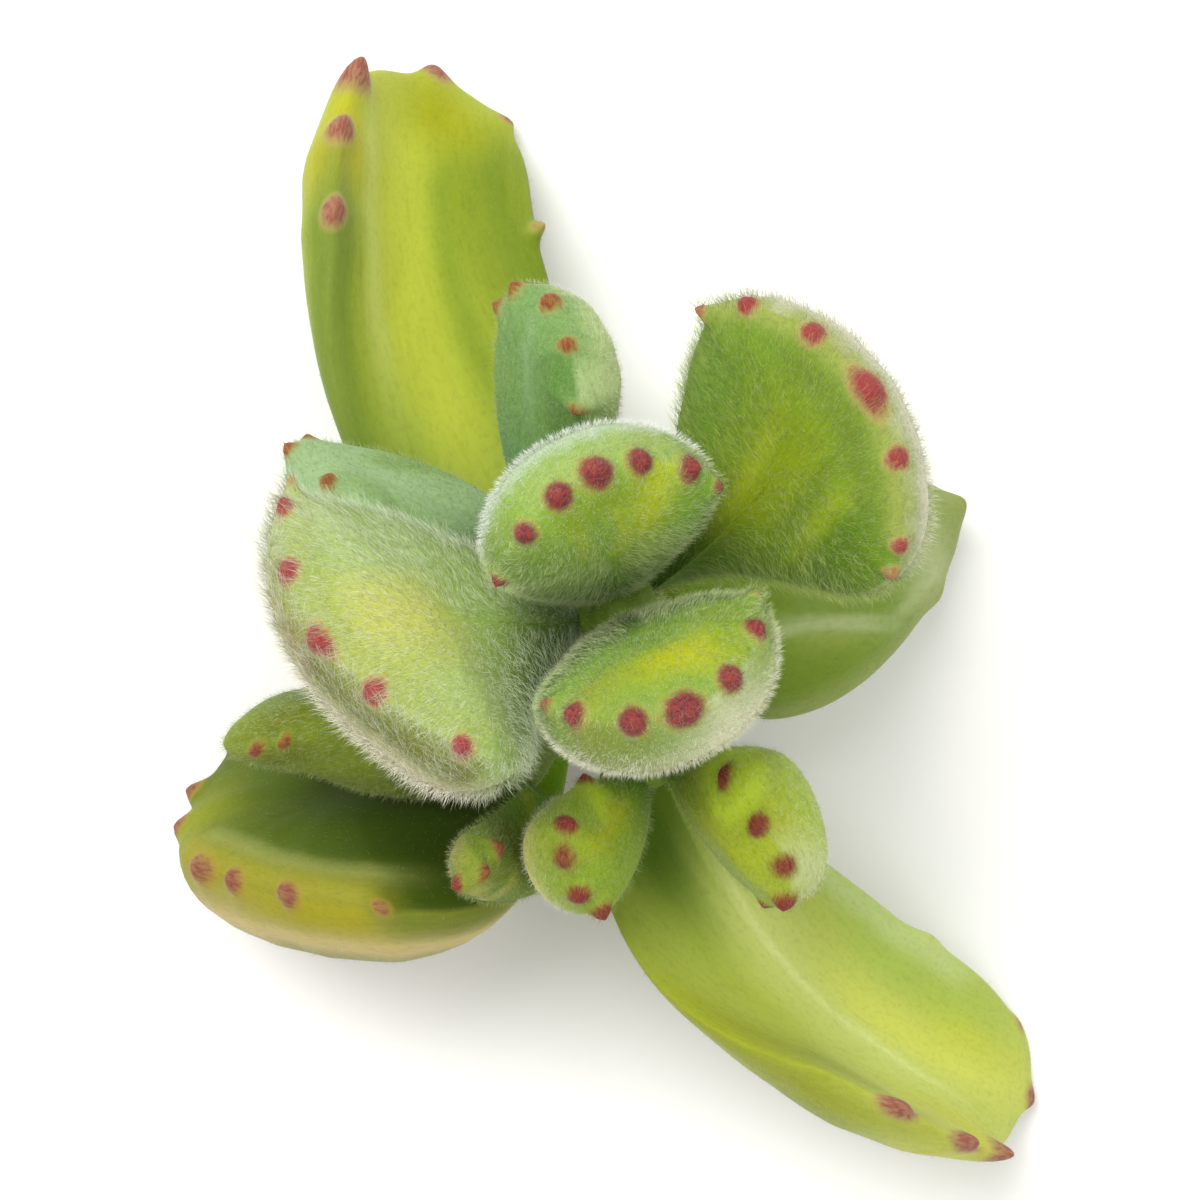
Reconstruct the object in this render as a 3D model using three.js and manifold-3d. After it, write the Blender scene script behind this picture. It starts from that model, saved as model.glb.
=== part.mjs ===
import * as THREE from 'three';
import { mergeVertices } from 'three/addons/utils/BufferGeometryUtils.js';
import Module from 'manifold-3d';

// A variegated bears paw succulent, cut at the stem: one upright stem with four pairs of toothed
// leaves, and three side shoots in the leaf axils, each with a pair of young leaves of its own.
// Millimetres, +Z up. The plant stands on the cut end of its stem and on the undersides of its
// lowest leaves, and the origin is on the ground under the middle of its outline.

// ---- Driving dimensions ---------------------------------------------------------------------

const SEAT_GAP = 0.3;
const STEM_X = 0.8;
const STEM_Y = -0.6;

// The main stem: swollen at each pair of leaves and at the scars of leaves that have dropped.
const STEM_PROFILE = [
  { height: 0.0, radius: 3.3 },
  { height: 2.0, radius: 3.4 },
  { height: 4.0, radius: 3.9 },
  { height: 5.8, radius: 3.3 },
  { height: 9.8, radius: 3.9 },
  { height: 13.0, radius: 3.1 },
  { height: 17.0, radius: 3.8 },
  { height: 20.5, radius: 3.0 },
  { height: 23.5, radius: 3.6 },
  { height: 26.5, radius: 2.8 },
  { height: 29.0, radius: 3.1 },
  { height: 30.6, radius: 2.1 },
  { height: 31.8, radius: 1.0 },
];
const STEM_TOP = 32.2;
const STEM_SIDES = 20;

// Side shoots: where each leaves the main stem, how far out and how high its tip lies, and which way.
const SHOOTS = {
  back: { start: 20.0, reach: 11.0, azimuth: 136, height: 24.0 },
  front: { start: 20.0, reach: 12.3, azimuth: 282, height: 25.0 },
  left: { start: 14.0, reach: 14.4, azimuth: 239, height: 20.0 },
};
const SHOOT_RADIUS = 1.9;
const SHOOT_TIP_RADIUS = 1.6;
const SHOOT_SIDES = 12;
const SHOOT_STEPS = 6;
const SHOOT_LIFT = 2.0;
const BUD_RINGS = [0.6, 0.9];

// What the leaves of each whorl have in common. upperShare is the part of the thickness above the rim.
const CROWN = { height: 29.0, upperShare: 0.45, toothHeight: 1.4, toothRadius: 1.0 };
const SECOND = { height: 24.5, upperShare: 0.45, toothHeight: 1.4, toothRadius: 1.0 };
const THIRD = { height: 17.0, upperShare: 0.45, toothHeight: 1.6, toothRadius: 1.0 };
const FOURTH = { height: 10.0, upperShare: 0.4, toothHeight: 1.4, toothRadius: 1.0 };
const YOUNG = { upperShare: 0.38, toothHeight: 1.0, toothRadius: 0.9 };
const LEAF_SEAT = 2.0;
const YOUNG_SEAT = 1.0;

// Angles are degrees. azimuth is the way a leaf leaves the stem and turn is how far it swings round by
// its tip; rise is its slope at the base and at the tip; roll tips its face over, fold closes it like a
// trough, and skew slides one margin ahead of the other. apexPower sets how blunt the outline's front
// is, and basePower how blunt it is behind, on the right-hand and the left-hand margin seen from the
// stem. core is the place along the leaf where it is thickest. Each tooth is an angle round the rim
// from the middle of the apex, positive on the left-hand margin, then its breadth and its height
// against the usual ones.
const LEAVES = [
  { ...CROWN, name: 'crown_leaf_back', azimuth: 103, turn: 8, rise: [54, 83], roll: 10, length: 22.2,
    width: 18.0, thickness: 9.0, fold: 35, widest: 0.67, apexPower: 0.9, basePower: [1.6, 0.8],
    skew: 2.7,
    teeth: [[-79, 0.8, 0.9], [-53, 0.95, 1], [-24, 0.95, 1], [-4, 1.15, 1.1], [13, 1, 1],
      [37, 0.9, 1], [88, 0.75, 0.7]] },
  { ...CROWN, name: 'crown_leaf_front', azimuth: 301, turn: -5, rise: [66, 82], roll: -7, length: 22.3,
    width: 18.6, thickness: 9.8, fold: 41, widest: 0.59, apexPower: 0.87, basePower: [0.8, 1.7],
    skew: -1.0,
    teeth: [[-68, 0.75, 0.85], [-47, 0.95, 1], [-17, 1.05, 1], [2, 1.2, 1], [25, 1, 0.95],
      [58, 0.9, 0.75], [90, 0.8, 0.8]] },
  { ...SECOND, name: 'second_leaf_right', azimuth: 32, turn: 40, rise: [26, 60], roll: -34,
    length: 32.0, width: 25.0, thickness: 9.0, fold: 35, widest: 0.79, apexPower: 1.05,
    basePower: [5.4, 1.9], skew: 2.5,
    teeth: [[-82, 0.8, 0.8], [-66, 0.8, 0.6], [-31, 1, 0.5], [-6, 1.2, 0.8], [23, 1, 0.6],
      [53, 0.9, 0.9], [85, 0.8, 0.9]] },
  { ...SECOND, name: 'second_leaf_left', azimuth: 201, turn: -45, rise: [38, 43], roll: 64,
    length: 27.4, width: 27.1, thickness: 11.0, fold: 31, widest: 0.84, apexPower: 1.32,
    basePower: [1.9, 4.2], skew: -5.4, core: 0.66,
    teeth: [[-81, 0.8, 1.2], [-61, 0.9, 1.1], [-33, 1, 0.7], [1, 1.1, 1.1], [29, 1, 0.5],
      [65, 0.9, 0.6]] },
  { ...THIRD, name: 'third_leaf_back', azimuth: 133, turn: -57, rise: [-6, -25], roll: 49,
    length: 50.1, width: 24.2, thickness: 7.2, fold: 74, widest: 0.71, apexPower: 0.71,
    basePower: [1.1, 0.4], skew: -6.0,
    teeth: [[-99, 1, 0.9], [-48, 1.7, 0.6], [-10, 1.7, 0.95], [31, 1.9, 1.5], [55, 1.3, 0.6],
      [86, 1.2, 0.65]] },
  { ...THIRD, name: 'third_leaf_front', azimuth: 281, turn: 68, rise: [-6, -16.7], roll: -66,
    length: 56.3, width: 27.6, thickness: 5.4, fold: 90, widest: 0.72, apexPower: 0.54,
    basePower: [2.7, 3.4], skew: 8.4, upperShare: 0.65,
    teeth: [[-63, 1.3, 0.5], [-27, 1.4, 0.7], [-9, 1.7, 1.25], [9, 1.4, 0.55], [42, 2.2, 0.15],
      [96, 2.4, 0.35]] },
  { ...FOURTH, name: 'fourth_leaf_left', azimuth: 232, turn: -61, rise: [-2, 17], roll: 78,
    length: 40.6, width: 31.0, thickness: 13.0, fold: 32, widest: 0.67, apexPower: 1.58,
    basePower: [1.8, 4.2], skew: -3.8,
    teeth: [[-71, 0.9, 0.6], [-51, 1.1, 1.1], [-34, 1.2, 0.6], [18, 1.2, 0.85], [32, 1, 0.75],
      [50, 1, 0.7], [79, 0.9, 0.7]] },
  { ...FOURTH, name: 'fourth_leaf_right', azimuth: 9, turn: -10, rise: [-4, -21], roll: -8,
    length: 25.4, width: 21.2, thickness: 9.0, fold: 34, widest: 0.44, apexPower: 0.86,
    basePower: [1.1, 1.5], skew: 6.2,
    teeth: [[-4, 1.6, 0.4], [32, 1.4, 0.8], [64, 1.4, 1]] },
  { ...YOUNG, name: 'back_shoot_leaf_right', shoot: 'back', azimuth: 68, turn: 30, rise: [29, 50],
    roll: -72, length: 18.9, width: 11.7, thickness: 6.6, fold: 38, widest: 0.75, apexPower: 0.88,
    basePower: [0.6, 1.7], skew: 0.9,
    teeth: [[76, 0.8, 1], [50, 0.8, 1], [7, 1, 1], [-26, 1, 0.9], [-83, 1, 0.9]] },
  { ...YOUNG, name: 'back_shoot_leaf_left', shoot: 'back', azimuth: 181, turn: -35, rise: [2, 15],
    roll: 87, length: 16.5, width: 9.9, thickness: 6.0, fold: 55, widest: 0.75, apexPower: 0.86,
    basePower: [1.5, 1.4], skew: -2.9,
    teeth: [[-58, 0.9, 0.8], [-25, 0.9, 1], [29, 0.9, 1], [97, 0.9, 0.8]] },
  { ...YOUNG, name: 'front_shoot_leaf_left', shoot: 'front', azimuth: 228, turn: 17, rise: [21, 60],
    roll: -48, length: 12.6, width: 8.8, thickness: 7.4, fold: 28, widest: 0.76, apexPower: 0.78,
    basePower: [1.6, 1.3], skew: -0.5,
    teeth: [[-124, 0.9, 0.9], [-66, 1, 0.9], [-23, 1, 1], [12, 0.9, 0.9], [48, 0.9, 1.2]] },
  { ...YOUNG, name: 'front_shoot_leaf_right', shoot: 'front', azimuth: 338, turn: -39, rise: [33, 51],
    roll: 82, length: 15.1, width: 9.3, thickness: 8.5, fold: 51, widest: 0.68, apexPower: 0.81,
    basePower: [2.4, 1.4], skew: -3.0,
    teeth: [[-66, 0.9, 0.7], [-32, 1, 1.1], [-1, 1, 0.9], [30, 1, 0.9], [93, 0.9, 1]] },
  { ...YOUNG, name: 'left_shoot_leaf_back', shoot: 'left', azimuth: 172, turn: 2, rise: [9, 1],
    roll: -106, length: 21.5, width: 10.1, thickness: 6.8, fold: 4, widest: 0.68, apexPower: 0.72,
    basePower: [1.6, 1.4], skew: -3.6,
    teeth: [[-79, 0.8, 0.8], [-64, 0.9, 0.8], [36, 0.9, 0.9]] },
  { ...YOUNG, name: 'left_shoot_leaf_front', shoot: 'left', azimuth: 272, turn: -83, rise: [43, 52],
    roll: -43, length: 15.0, width: 8.2, thickness: 5.4, fold: 29, widest: 0.66, apexPower: 0.87,
    basePower: [2.6, 1.6], skew: -7.0,
    teeth: [[-24, 0.9, 1], [-58, 0.9, 0.9], [-84, 0.9, 1]] },
];

// How finely a leaf is faceted: steps round its rim, and rings from the middle of the upper face to
// the rim and back to the middle of the lower face, as shares of the way out.
const RIM_STEPS = 26;
const RIM_SPACING = 0.7;
const UPPER_RINGS = [0.36, 0.66, 0.86, 0.96, 1.0];
const LOWER_RINGS = [0.93, 0.74, 0.4];

// The cross-section's roundness: full over the middle of the leaf and blunt at its rim.
const PILLOW_SPREAD = 2.4;
const PILLOW_BLUNTNESS = 0.6;

// How the bending grows along a leaf: the turn comes late, and the fold starts narrow at the base.
const TURN_POWER = 1.5;
const FOLD_AT_BASE = 0.2;
const FOLD_GROWTH = 1.6;

// Where a leaf is thickest if it names no core, as a share of the way to its widest place, and how
// much sooner a tooth fades into the thickness of the leaf than along it.
const CORE_SHARE = 0.95;
const TOOTH_DEPTH = 0.9;

// The midline is walked from before the base to past the apex, as shares of the leaf's length.
const SPINE_START = -0.3;
const SPINE_END = 1.2;
const SPINE_STEPS = 150;

// The space over the ground that the plant stands on. What would sink below it is pressed flat.
const AIR = { span: 200, height: 100 };

const LEAF_FINISHES = {
  crown: { color: '#9dc06a', roughness: 0.8 },
  second: { color: '#8fb257', roughness: 0.8 },
  third: { color: '#a3bd4b', roughness: 0.7 },
  fourth: { color: '#86a33c', roughness: 0.7 },
  back: { color: '#8fba84', roughness: 0.8 },
  front: { color: '#8db348', roughness: 0.8 },
  left: { color: '#86a555', roughness: 0.8 },
};
const STEM_FINISH = { color: '#7f9a4c', roughness: 0.85 };

// ---- Leaf surface -----------------------------------------------------------------------------

const radians = THREE.MathUtils.degToRad;
const clamp = THREE.MathUtils.clamp;

// The flat outline of a leaf: angle 0 is the middle of its apex and 180 degrees is its base.
function rimPoint(leaf, angle) {
  const cosine = Math.cos(angle);
  const sine = Math.sin(angle);
  const share = cosine >= 0 ? leaf.widest + (1 - leaf.widest) * cosine : leaf.widest * (1 + cosine);
  const power = cosine >= 0 ? leaf.apexPower : leaf.basePower[sine < 0 ? 0 : 1];
  const side = Math.sign(sine) * Math.abs(sine) ** power;
  return new THREE.Vector2(side * leaf.width / 2, share * leaf.length + leaf.skew * side * share ** 2);
}

function rimTangent(leaf, angle) {
  const step = 1e-3;
  const tangent = rimPoint(leaf, angle + step).sub(rimPoint(leaf, angle - step));
  return tangent.divideScalar(2 * step);
}

// Each tooth is a blunt bump that stands out of the rim, square to it.
function leafTeeth(leaf) {
  const middle = new THREE.Vector2(0, leaf.widest * leaf.length);
  return leaf.teeth.map(([degrees, breadth, lift]) => {
    const angle = radians(degrees);
    const root = rimPoint(leaf, angle);
    const tangent = rimTangent(leaf, angle);
    const outward = new THREE.Vector2(tangent.y, -tangent.x).normalize();
    if (root.clone().sub(middle).dot(outward) < 0) {
      outward.negate();
    }
    const radius = leaf.toothRadius * breadth;
    return { angle, root, outward, radius, height: leaf.toothHeight * lift, spread: radius / tangent.length() };
  });
}

// Even steps round the rim, with one sample on each tooth and one at each of its feet.
function rimAngles(leaf, teeth) {
  const marks = teeth.flatMap(({ angle, spread }) => [angle - spread, angle, angle + spread]);
  const even = Array.from({ length: RIM_STEPS }, (_, step) => 2 * Math.PI * (step / RIM_STEPS) - Math.PI);
  const apart = Math.PI / RIM_STEPS;
  const kept = even.filter((angle) => marks.every((mark) => Math.abs(mark - angle) > apart * RIM_SPACING));
  return [...kept, ...marks].sort((a, b) => a - b);
}

// The curved midline, walked from before the base to past the apex.
function leafSpine(leaf) {
  const base = leaf.shoot ? shootTip(leaf.shoot) : new THREE.Vector3(STEM_X, STEM_Y, leaf.height);
  const seat = leaf.shoot ? YOUNG_SEAT : LEAF_SEAT;
  const azimuth = radians(leaf.azimuth);
  base.add(new THREE.Vector3(Math.cos(azimuth), Math.sin(azimuth), 0).multiplyScalar(seat));
  const step = (SPINE_END - SPINE_START) / SPINE_STEPS;
  const stations = [];
  const point = new THREE.Vector3();
  for (let index = 0; index <= SPINE_STEPS; index += 1) {
    const share = SPINE_START + index * step;
    const grown = Math.max(share, 0);
    const slope = radians(leaf.rise[0] + (leaf.rise[1] - leaf.rise[0]) * grown);
    const heading = azimuth + radians(leaf.turn) * grown ** TURN_POWER;
    const along = new THREE.Vector3(
      Math.cos(slope) * Math.cos(heading), Math.cos(slope) * Math.sin(heading), Math.sin(slope));
    stations.push({ share, slope, heading, point: point.clone() });
    point.addScaledVector(along, step * leaf.length);
  }
  const origin = stations[Math.round(-SPINE_START / step)].point.clone();
  stations.forEach((station) => station.point.sub(origin).add(base));
  return { stations, step };
}

function spineStation(spine, share) {
  const place = clamp((share - SPINE_START) / spine.step, 0, SPINE_STEPS - 1e-6);
  const index = Math.floor(place);
  const part = place - index;
  const here = spine.stations[index];
  const next = spine.stations[index + 1];
  return {
    slope: THREE.MathUtils.lerp(here.slope, next.slope, part),
    heading: THREE.MathUtils.lerp(here.heading, next.heading, part),
    point: here.point.clone().lerp(next.point, part),
  };
}

// One point of the leaf: the outline drawn in towards the core, raised as a pillow, pushed out by the
// teeth, folded across its width and carried along the midline.
function leafPoint(leaf, teeth, spine, angle, ring, face) {
  const core = new THREE.Vector2(0, (leaf.core ?? CORE_SHARE * leaf.widest) * leaf.length);
  const flat = core.lerp(rimPoint(leaf, angle), ring);
  const depth = leaf.thickness * (face > 0 ? leaf.upperShare : 1 - leaf.upperShare);
  const raised = face * depth * Math.max(0, 1 - ring ** PILLOW_SPREAD) ** PILLOW_BLUNTNESS;
  const pushed = flat.clone();
  for (const tooth of teeth) {
    const away = (flat.distanceToSquared(tooth.root) + (TOOTH_DEPTH * raised) ** 2) / tooth.radius ** 2;
    pushed.addScaledVector(tooth.outward, tooth.height * Math.exp(-away));
  }
  const share = pushed.y / leaf.length;
  const folding = clamp(FOLD_GROWTH * share, FOLD_AT_BASE, 1) * radians(leaf.fold) / (leaf.width / 2);
  const across = Math.sin(folding * pushed.x) * (1 / folding - raised);
  const above = (1 - Math.cos(folding * pushed.x)) / folding + raised * Math.cos(folding * pushed.x);
  const { slope, heading, point } = spineStation(spine, share);
  const along = new THREE.Vector3(
    Math.cos(slope) * Math.cos(heading), Math.cos(slope) * Math.sin(heading), Math.sin(slope));
  const level = new THREE.Vector3(-Math.sin(heading), Math.cos(heading), 0);
  const normal = along.clone().cross(level);
  const roll = radians(leaf.roll) * clamp(share, 0, 1);
  const sideways = level.clone().multiplyScalar(Math.cos(roll)).addScaledVector(normal, Math.sin(roll));
  const upwards = normal.multiplyScalar(Math.cos(roll)).addScaledVector(level, -Math.sin(roll));
  return point.addScaledVector(sideways, across).addScaledVector(upwards, above);
}

// A closed leaf: a fan at the middle of the upper face, rings out to the rim and back, and a fan at
// the middle of the lower face. What would sink below the ground is pressed flat on it.
function leafGeometry(leaf) {
  const teeth = leafTeeth(leaf);
  const spine = leafSpine(leaf);
  const angles = rimAngles(leaf, teeth);
  const rings = [
    ...UPPER_RINGS.map((ring) => ({ ring, face: 1 })),
    ...LOWER_RINGS.map((ring) => ({ ring, face: -1 })),
  ];
  const points = [leafPoint(leaf, teeth, spine, 0, 0, 1)];
  for (const { ring, face } of rings) {
    points.push(...angles.map((angle) => leafPoint(leaf, teeth, spine, angle, ring, face)));
  }
  points.push(leafPoint(leaf, teeth, spine, 0, 0, -1));
  const last = points.length - 1;
  const around = angles.length;
  const triangles = [];
  for (let step = 0; step < around; step += 1) {
    const next = (step + 1) % around;
    triangles.push(0, 1 + step, 1 + next);
    for (let row = 0; row + 1 < rings.length; row += 1) {
      const near = 1 + row * around;
      const far = near + around;
      triangles.push(near + step, far + step, far + next, near + step, far + next, near + next);
    }
    const outer = 1 + (rings.length - 1) * around;
    triangles.push(last, outer + next, outer + step);
  }
  return closedGeometry(points, triangles);
}

// ---- Stems ------------------------------------------------------------------------------------

function shootTip(name) {
  const { reach, azimuth, height } = SHOOTS[name];
  const angle = radians(azimuth);
  return new THREE.Vector3(STEM_X + reach * Math.cos(angle), STEM_Y + reach * Math.sin(angle), height);
}

function mainStemGeometry(margin) {
  const profile = STEM_PROFILE.map(({ height, radius }) => new THREE.Vector2(radius, height));
  const crest = new THREE.Vector2(0, STEM_TOP);
  const outline = profile.map((point, index) => {
    const before = profile[index - 1] ?? point;
    const along = (profile[index + 1] ?? crest).clone().sub(before).normalize();
    return new THREE.Vector2(point.x + margin * along.y, point.y - margin * along.x);
  });
  const foot = new THREE.Vector2(0, outline[0].y);
  crest.y += margin;
  const stem = new THREE.LatheGeometry([foot, ...outline, crest], STEM_SIDES);
  return stem.rotateX(Math.PI / 2).translate(STEM_X, STEM_Y, 0);
}

// A side shoot rises out of the main stem and arches to its tip, which ends in a round bud.
function shootGeometry(name, margin) {
  const tip = shootTip(name);
  const start = new THREE.Vector3(STEM_X, STEM_Y, SHOOTS[name].start);
  const bend = start.clone().lerp(tip, 0.5);
  bend.z += SHOOT_LIFT;
  const path = new THREE.QuadraticBezierCurve3(start, bend, tip);
  const rings = [];
  for (let step = 0; step <= SHOOT_STEPS; step += 1) {
    const share = step / SHOOT_STEPS;
    const radius = THREE.MathUtils.lerp(SHOOT_RADIUS, SHOOT_TIP_RADIUS, share) + margin;
    rings.push({ center: path.getPoint(share), along: path.getTangent(share), radius });
  }
  const end = path.getTangent(1);
  for (const share of BUD_RINGS) {
    rings.push({
      center: tip.clone().addScaledVector(end, share * (SHOOT_TIP_RADIUS + margin)),
      along: end,
      radius: (SHOOT_TIP_RADIUS + margin) * Math.sqrt(1 - share ** 2),
    });
  }
  const crest = tip.clone().addScaledVector(end, SHOOT_TIP_RADIUS + margin);
  return loftGeometry(rings, start, crest);
}

// Rings of points about a path, closed by a fan to a point at each end.
function loftGeometry(rings, first, final) {
  const points = [first];
  for (const { center, along, radius } of rings) {
    const sideways = new THREE.Vector3(-along.y, along.x, 0).normalize();
    const upwards = along.clone().cross(sideways);
    for (let side = 0; side < SHOOT_SIDES; side += 1) {
      const angle = 2 * Math.PI * side / SHOOT_SIDES;
      points.push(center.clone()
        .addScaledVector(sideways, radius * Math.cos(angle))
        .addScaledVector(upwards, radius * Math.sin(angle)));
    }
  }
  points.push(final);
  const last = points.length - 1;
  const triangles = [];
  for (let side = 0; side < SHOOT_SIDES; side += 1) {
    const next = (side + 1) % SHOOT_SIDES;
    triangles.push(0, 1 + next, 1 + side);
    for (let row = 0; row + 1 < rings.length; row += 1) {
      const near = 1 + row * SHOOT_SIDES;
      const far = near + SHOOT_SIDES;
      triangles.push(near + side, near + next, far + next, near + side, far + next, far + side);
    }
    const outer = 1 + (rings.length - 1) * SHOOT_SIDES;
    triangles.push(outer + side, outer + next, last);
  }
  return closedGeometry(points, triangles);
}

// ---- Solids -----------------------------------------------------------------------------------

const library = await Module();
library.setup();

function closedGeometry(points, triangles) {
  const geometry = new THREE.BufferGeometry();
  const positions = points.flatMap((point) => [point.x, point.y, point.z]);
  geometry.setAttribute('position', new THREE.Float32BufferAttribute(positions, 3));
  geometry.setIndex(triangles);
  return geometry;
}

function toSolid(geometry) {
  const bare = geometry.clone();
  bare.deleteAttribute('normal');
  bare.deleteAttribute('uv');
  const merged = mergeVertices(bare);
  return new library.Manifold(new library.Mesh({
    numProp: 3,
    vertProperties: new Float32Array(merged.attributes.position.array),
    triVerts: new Uint32Array(merged.index.array),
  }));
}

function toGeometry(solid) {
  const { vertProperties, triVerts } = solid.getMesh();
  const geometry = new THREE.BufferGeometry();
  geometry.setAttribute('position', new THREE.BufferAttribute(vertProperties, 3));
  geometry.setIndex(new THREE.BufferAttribute(triVerts, 1));
  geometry.computeVertexNormals();
  return geometry;
}

// The stem and its shoots grew as one; a margin makes the same shape a little stouter.
function stemSolid(margin) {
  return Object.keys(SHOOTS).reduce(
    (solid, name) => solid.add(toSolid(shootGeometry(name, margin))),
    toSolid(mainStemGeometry(margin)));
}

function addPiece(group, name, solid, finish) {
  const material = new THREE.MeshStandardMaterial({ ...finish, metalness: 0 });
  const mesh = new THREE.Mesh(toGeometry(solid), material);
  mesh.name = name;
  group.add(mesh);
}

const air = toSolid(new THREE.BoxGeometry(AIR.span, AIR.span, AIR.height).translate(0, 0, AIR.height / 2));
const stemRoom = stemSolid(SEAT_GAP);
const plant = new THREE.Group();
addPiece(plant, 'main_stem', stemSolid(0).intersect(air), STEM_FINISH);
for (const leaf of LEAVES) {
  const finish = LEAF_FINISHES[leaf.shoot ?? leaf.name.split('_')[0]];
  addPiece(plant, leaf.name, toSolid(leafGeometry(leaf)).subtract(stemRoom).intersect(air), finish);
}

export default plant;
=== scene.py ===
"""A variegated bears paw succulent, cut at the stem and stood on a pale floor.

Four pairs of fleshy leaves cross each other up one stem, and three young shoots with a pair of small leaves
each grow in the lower leaf axils. Every leaf is a thick pillow with blunt red teeth round its end, under
a coat of fine pale hairs. Sizes are millimetres and angles are degrees until a mesh is made, in metres.
"""

from __future__ import annotations

import logging
from collections.abc import Sequence
from dataclasses import dataclass, field, replace
from enum import Enum
from typing import NamedTuple

import bpy
import numpy as np
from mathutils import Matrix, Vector


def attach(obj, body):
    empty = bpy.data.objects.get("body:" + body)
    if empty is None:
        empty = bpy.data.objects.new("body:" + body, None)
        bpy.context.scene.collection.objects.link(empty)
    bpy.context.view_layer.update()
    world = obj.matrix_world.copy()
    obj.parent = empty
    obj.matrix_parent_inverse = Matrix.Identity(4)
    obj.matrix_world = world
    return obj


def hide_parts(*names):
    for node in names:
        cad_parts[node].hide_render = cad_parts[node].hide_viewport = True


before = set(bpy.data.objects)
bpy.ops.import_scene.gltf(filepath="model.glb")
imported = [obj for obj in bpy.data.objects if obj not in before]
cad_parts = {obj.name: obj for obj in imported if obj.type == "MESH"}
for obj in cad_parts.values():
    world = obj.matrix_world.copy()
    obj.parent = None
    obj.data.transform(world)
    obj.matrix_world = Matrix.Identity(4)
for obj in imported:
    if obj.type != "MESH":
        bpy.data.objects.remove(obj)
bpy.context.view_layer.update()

LOG = logging.getLogger("bears_paw")
MM = 0.001
BODY = "root"
STEM_SEED = 7
LEAF_SEED = 100

# Where the stem stands, and how far from the middle of the stem or of a shoot its leaves start.
STEM_FOOT = np.array([0.8, -0.6, 0.0])
LEAF_SEAT = 2.0
YOUNG_SEAT = 1.0

# A leaf's pillow: how far its fullness reaches out, how blunt it is, and where along the leaf it is thickest,
# as a share of the widest place.
PILLOW_SPREAD = 2.4
PILLOW_BLUNTNESS = 0.6
CORE_SHARE = 0.95

# A leaf's midline: the power by which its heading grows, the share of its fold at the base, how fast the fold
# grows along it, and the even steps in which it is walked, from before the base to past the apex.
TURN_POWER = 1.5
FOLD_AT_BASE = 0.2
FOLD_GROWTH = 1.6
SPINE_SHARES = np.linspace(-0.3, 1.2, 151)

# Teeth: how much height counts when the distance from a tooth or from its spot is measured, where the spot's
# middle lies as a share of the tooth's height, and the spot's radius.
TOOTH_DEPTH = 0.9
SPOT_HEIGHT = 0.6
SPOT_RADIUS = 1.75

# The ridge that runs in from a tooth: its width against the tooth's, and the powers of the ring by which it
# rises towards the rim and ends there.
RIDGE_SPREAD = 1.5
RIDGE_RISE = 2.5
RIDGE_END = 8

# The unevenness of a leaf's faces: its height, its lengths across and along, and the power of the ring by
# which it ends at the rim.
SWELL = 0.12
SWELL_LENGTHS = (7, 9)
SWELL_END = 6

# Points round a leaf's rim: how many angles are tried, how much closer together they lie on teeth, and the
# least pace.
FINE_ANGLES = 4001
CROWDING = 1.6
LEAST_PACE = 0.05

# How the colours of a leaf wander: a broad swing and fine streaks, each with its paces across and along, and
# how much of the swing goes along the leaf too.
WANDER = 0.05
WANDER_PACE = (1.2, 2.0)
WANDER_ALONG = 0.4
STREAK = 0.025
STREAK_PACE = (7, 1.2)
STREAK_WAVES = 10

# The lower face's own colour: how softly it starts, how raggedly, and how much darker it is at the base.
WRAP_FADE = 0.12
WRAP_RAGGEDNESS = 2
BASE_SHADE = 0.8

# How much a leaf's hairs lean out to its rim as well as to its end, where their feet turn to a tooth's red,
# and how much height counts in the place that the flesh's noise is read at.
RIM_LEAN = 0.8
RED_FEET = (0.3, 0.52)
LAMINA_DEPTH = 3


# ---- Small tools ---------------------------------------------------------------------------------


def linear(colour: str) -> np.ndarray:
    """Turns a hex colour such as "#9dc06a" into linear red, green and blue from 0 to 1.

    Args:
        colour: the colour as a screen shows it.
    Returns:
        Three linear values.
    """
    screen = np.array([int(colour[place:place + 2], 16) for place in (1, 3, 5)]) / 255
    return np.where(screen <= 0.04045, screen / 12.92, ((screen + 0.055) / 1.055) ** 2.4)


def smooth(low: float, high: float, value: np.ndarray) -> np.ndarray:
    """A soft step from 0 at low to 1 at high: three squares less two cubes of the share of the way."""
    share = np.clip((value - low) / (high - low), 0, 1)
    return share * share * (3 - 2 * share)


def unit(vectors: np.ndarray) -> np.ndarray:
    """The same vectors at length one."""
    return vectors / np.maximum(np.linalg.norm(vectors, axis=-1, keepdims=True), 1e-12)


def ripple(x: np.ndarray, y: np.ndarray, rng: np.random.Generator, waves: int = 6) -> np.ndarray:
    """Soft irregular relief: a sum of a few sine waves of seeded direction and phase, from about -1 to 1.

    Args:
        x: first coordinate, in wave lengths.
        y: second coordinate, in wave lengths.
        rng: the seeded source of directions and phases.
        waves: how many waves are added.
    Returns:
        The relief at each point.
    """
    total = np.zeros_like(x)
    for _ in range(waves):
        heading, phase = rng.uniform(0, 2 * np.pi, 2)
        pace = rng.uniform(0.6, 1.5) * 2 * np.pi
        total += np.sin(pace * (x * np.cos(heading) + y * np.sin(heading)) + phase)
    return total / np.sqrt(2 * waves)


def packed(values: np.ndarray) -> np.ndarray:
    """The values as one flat row of single-precision numbers, as a mesh takes them."""
    return values.astype(np.float32).ravel()


class Face(Enum):
    """Which side of a leaf something is on."""

    UPPER = 1
    LOWER = -1
    BOTH = 0


# ---- Meshes --------------------------------------------------------------------------------------


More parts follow.
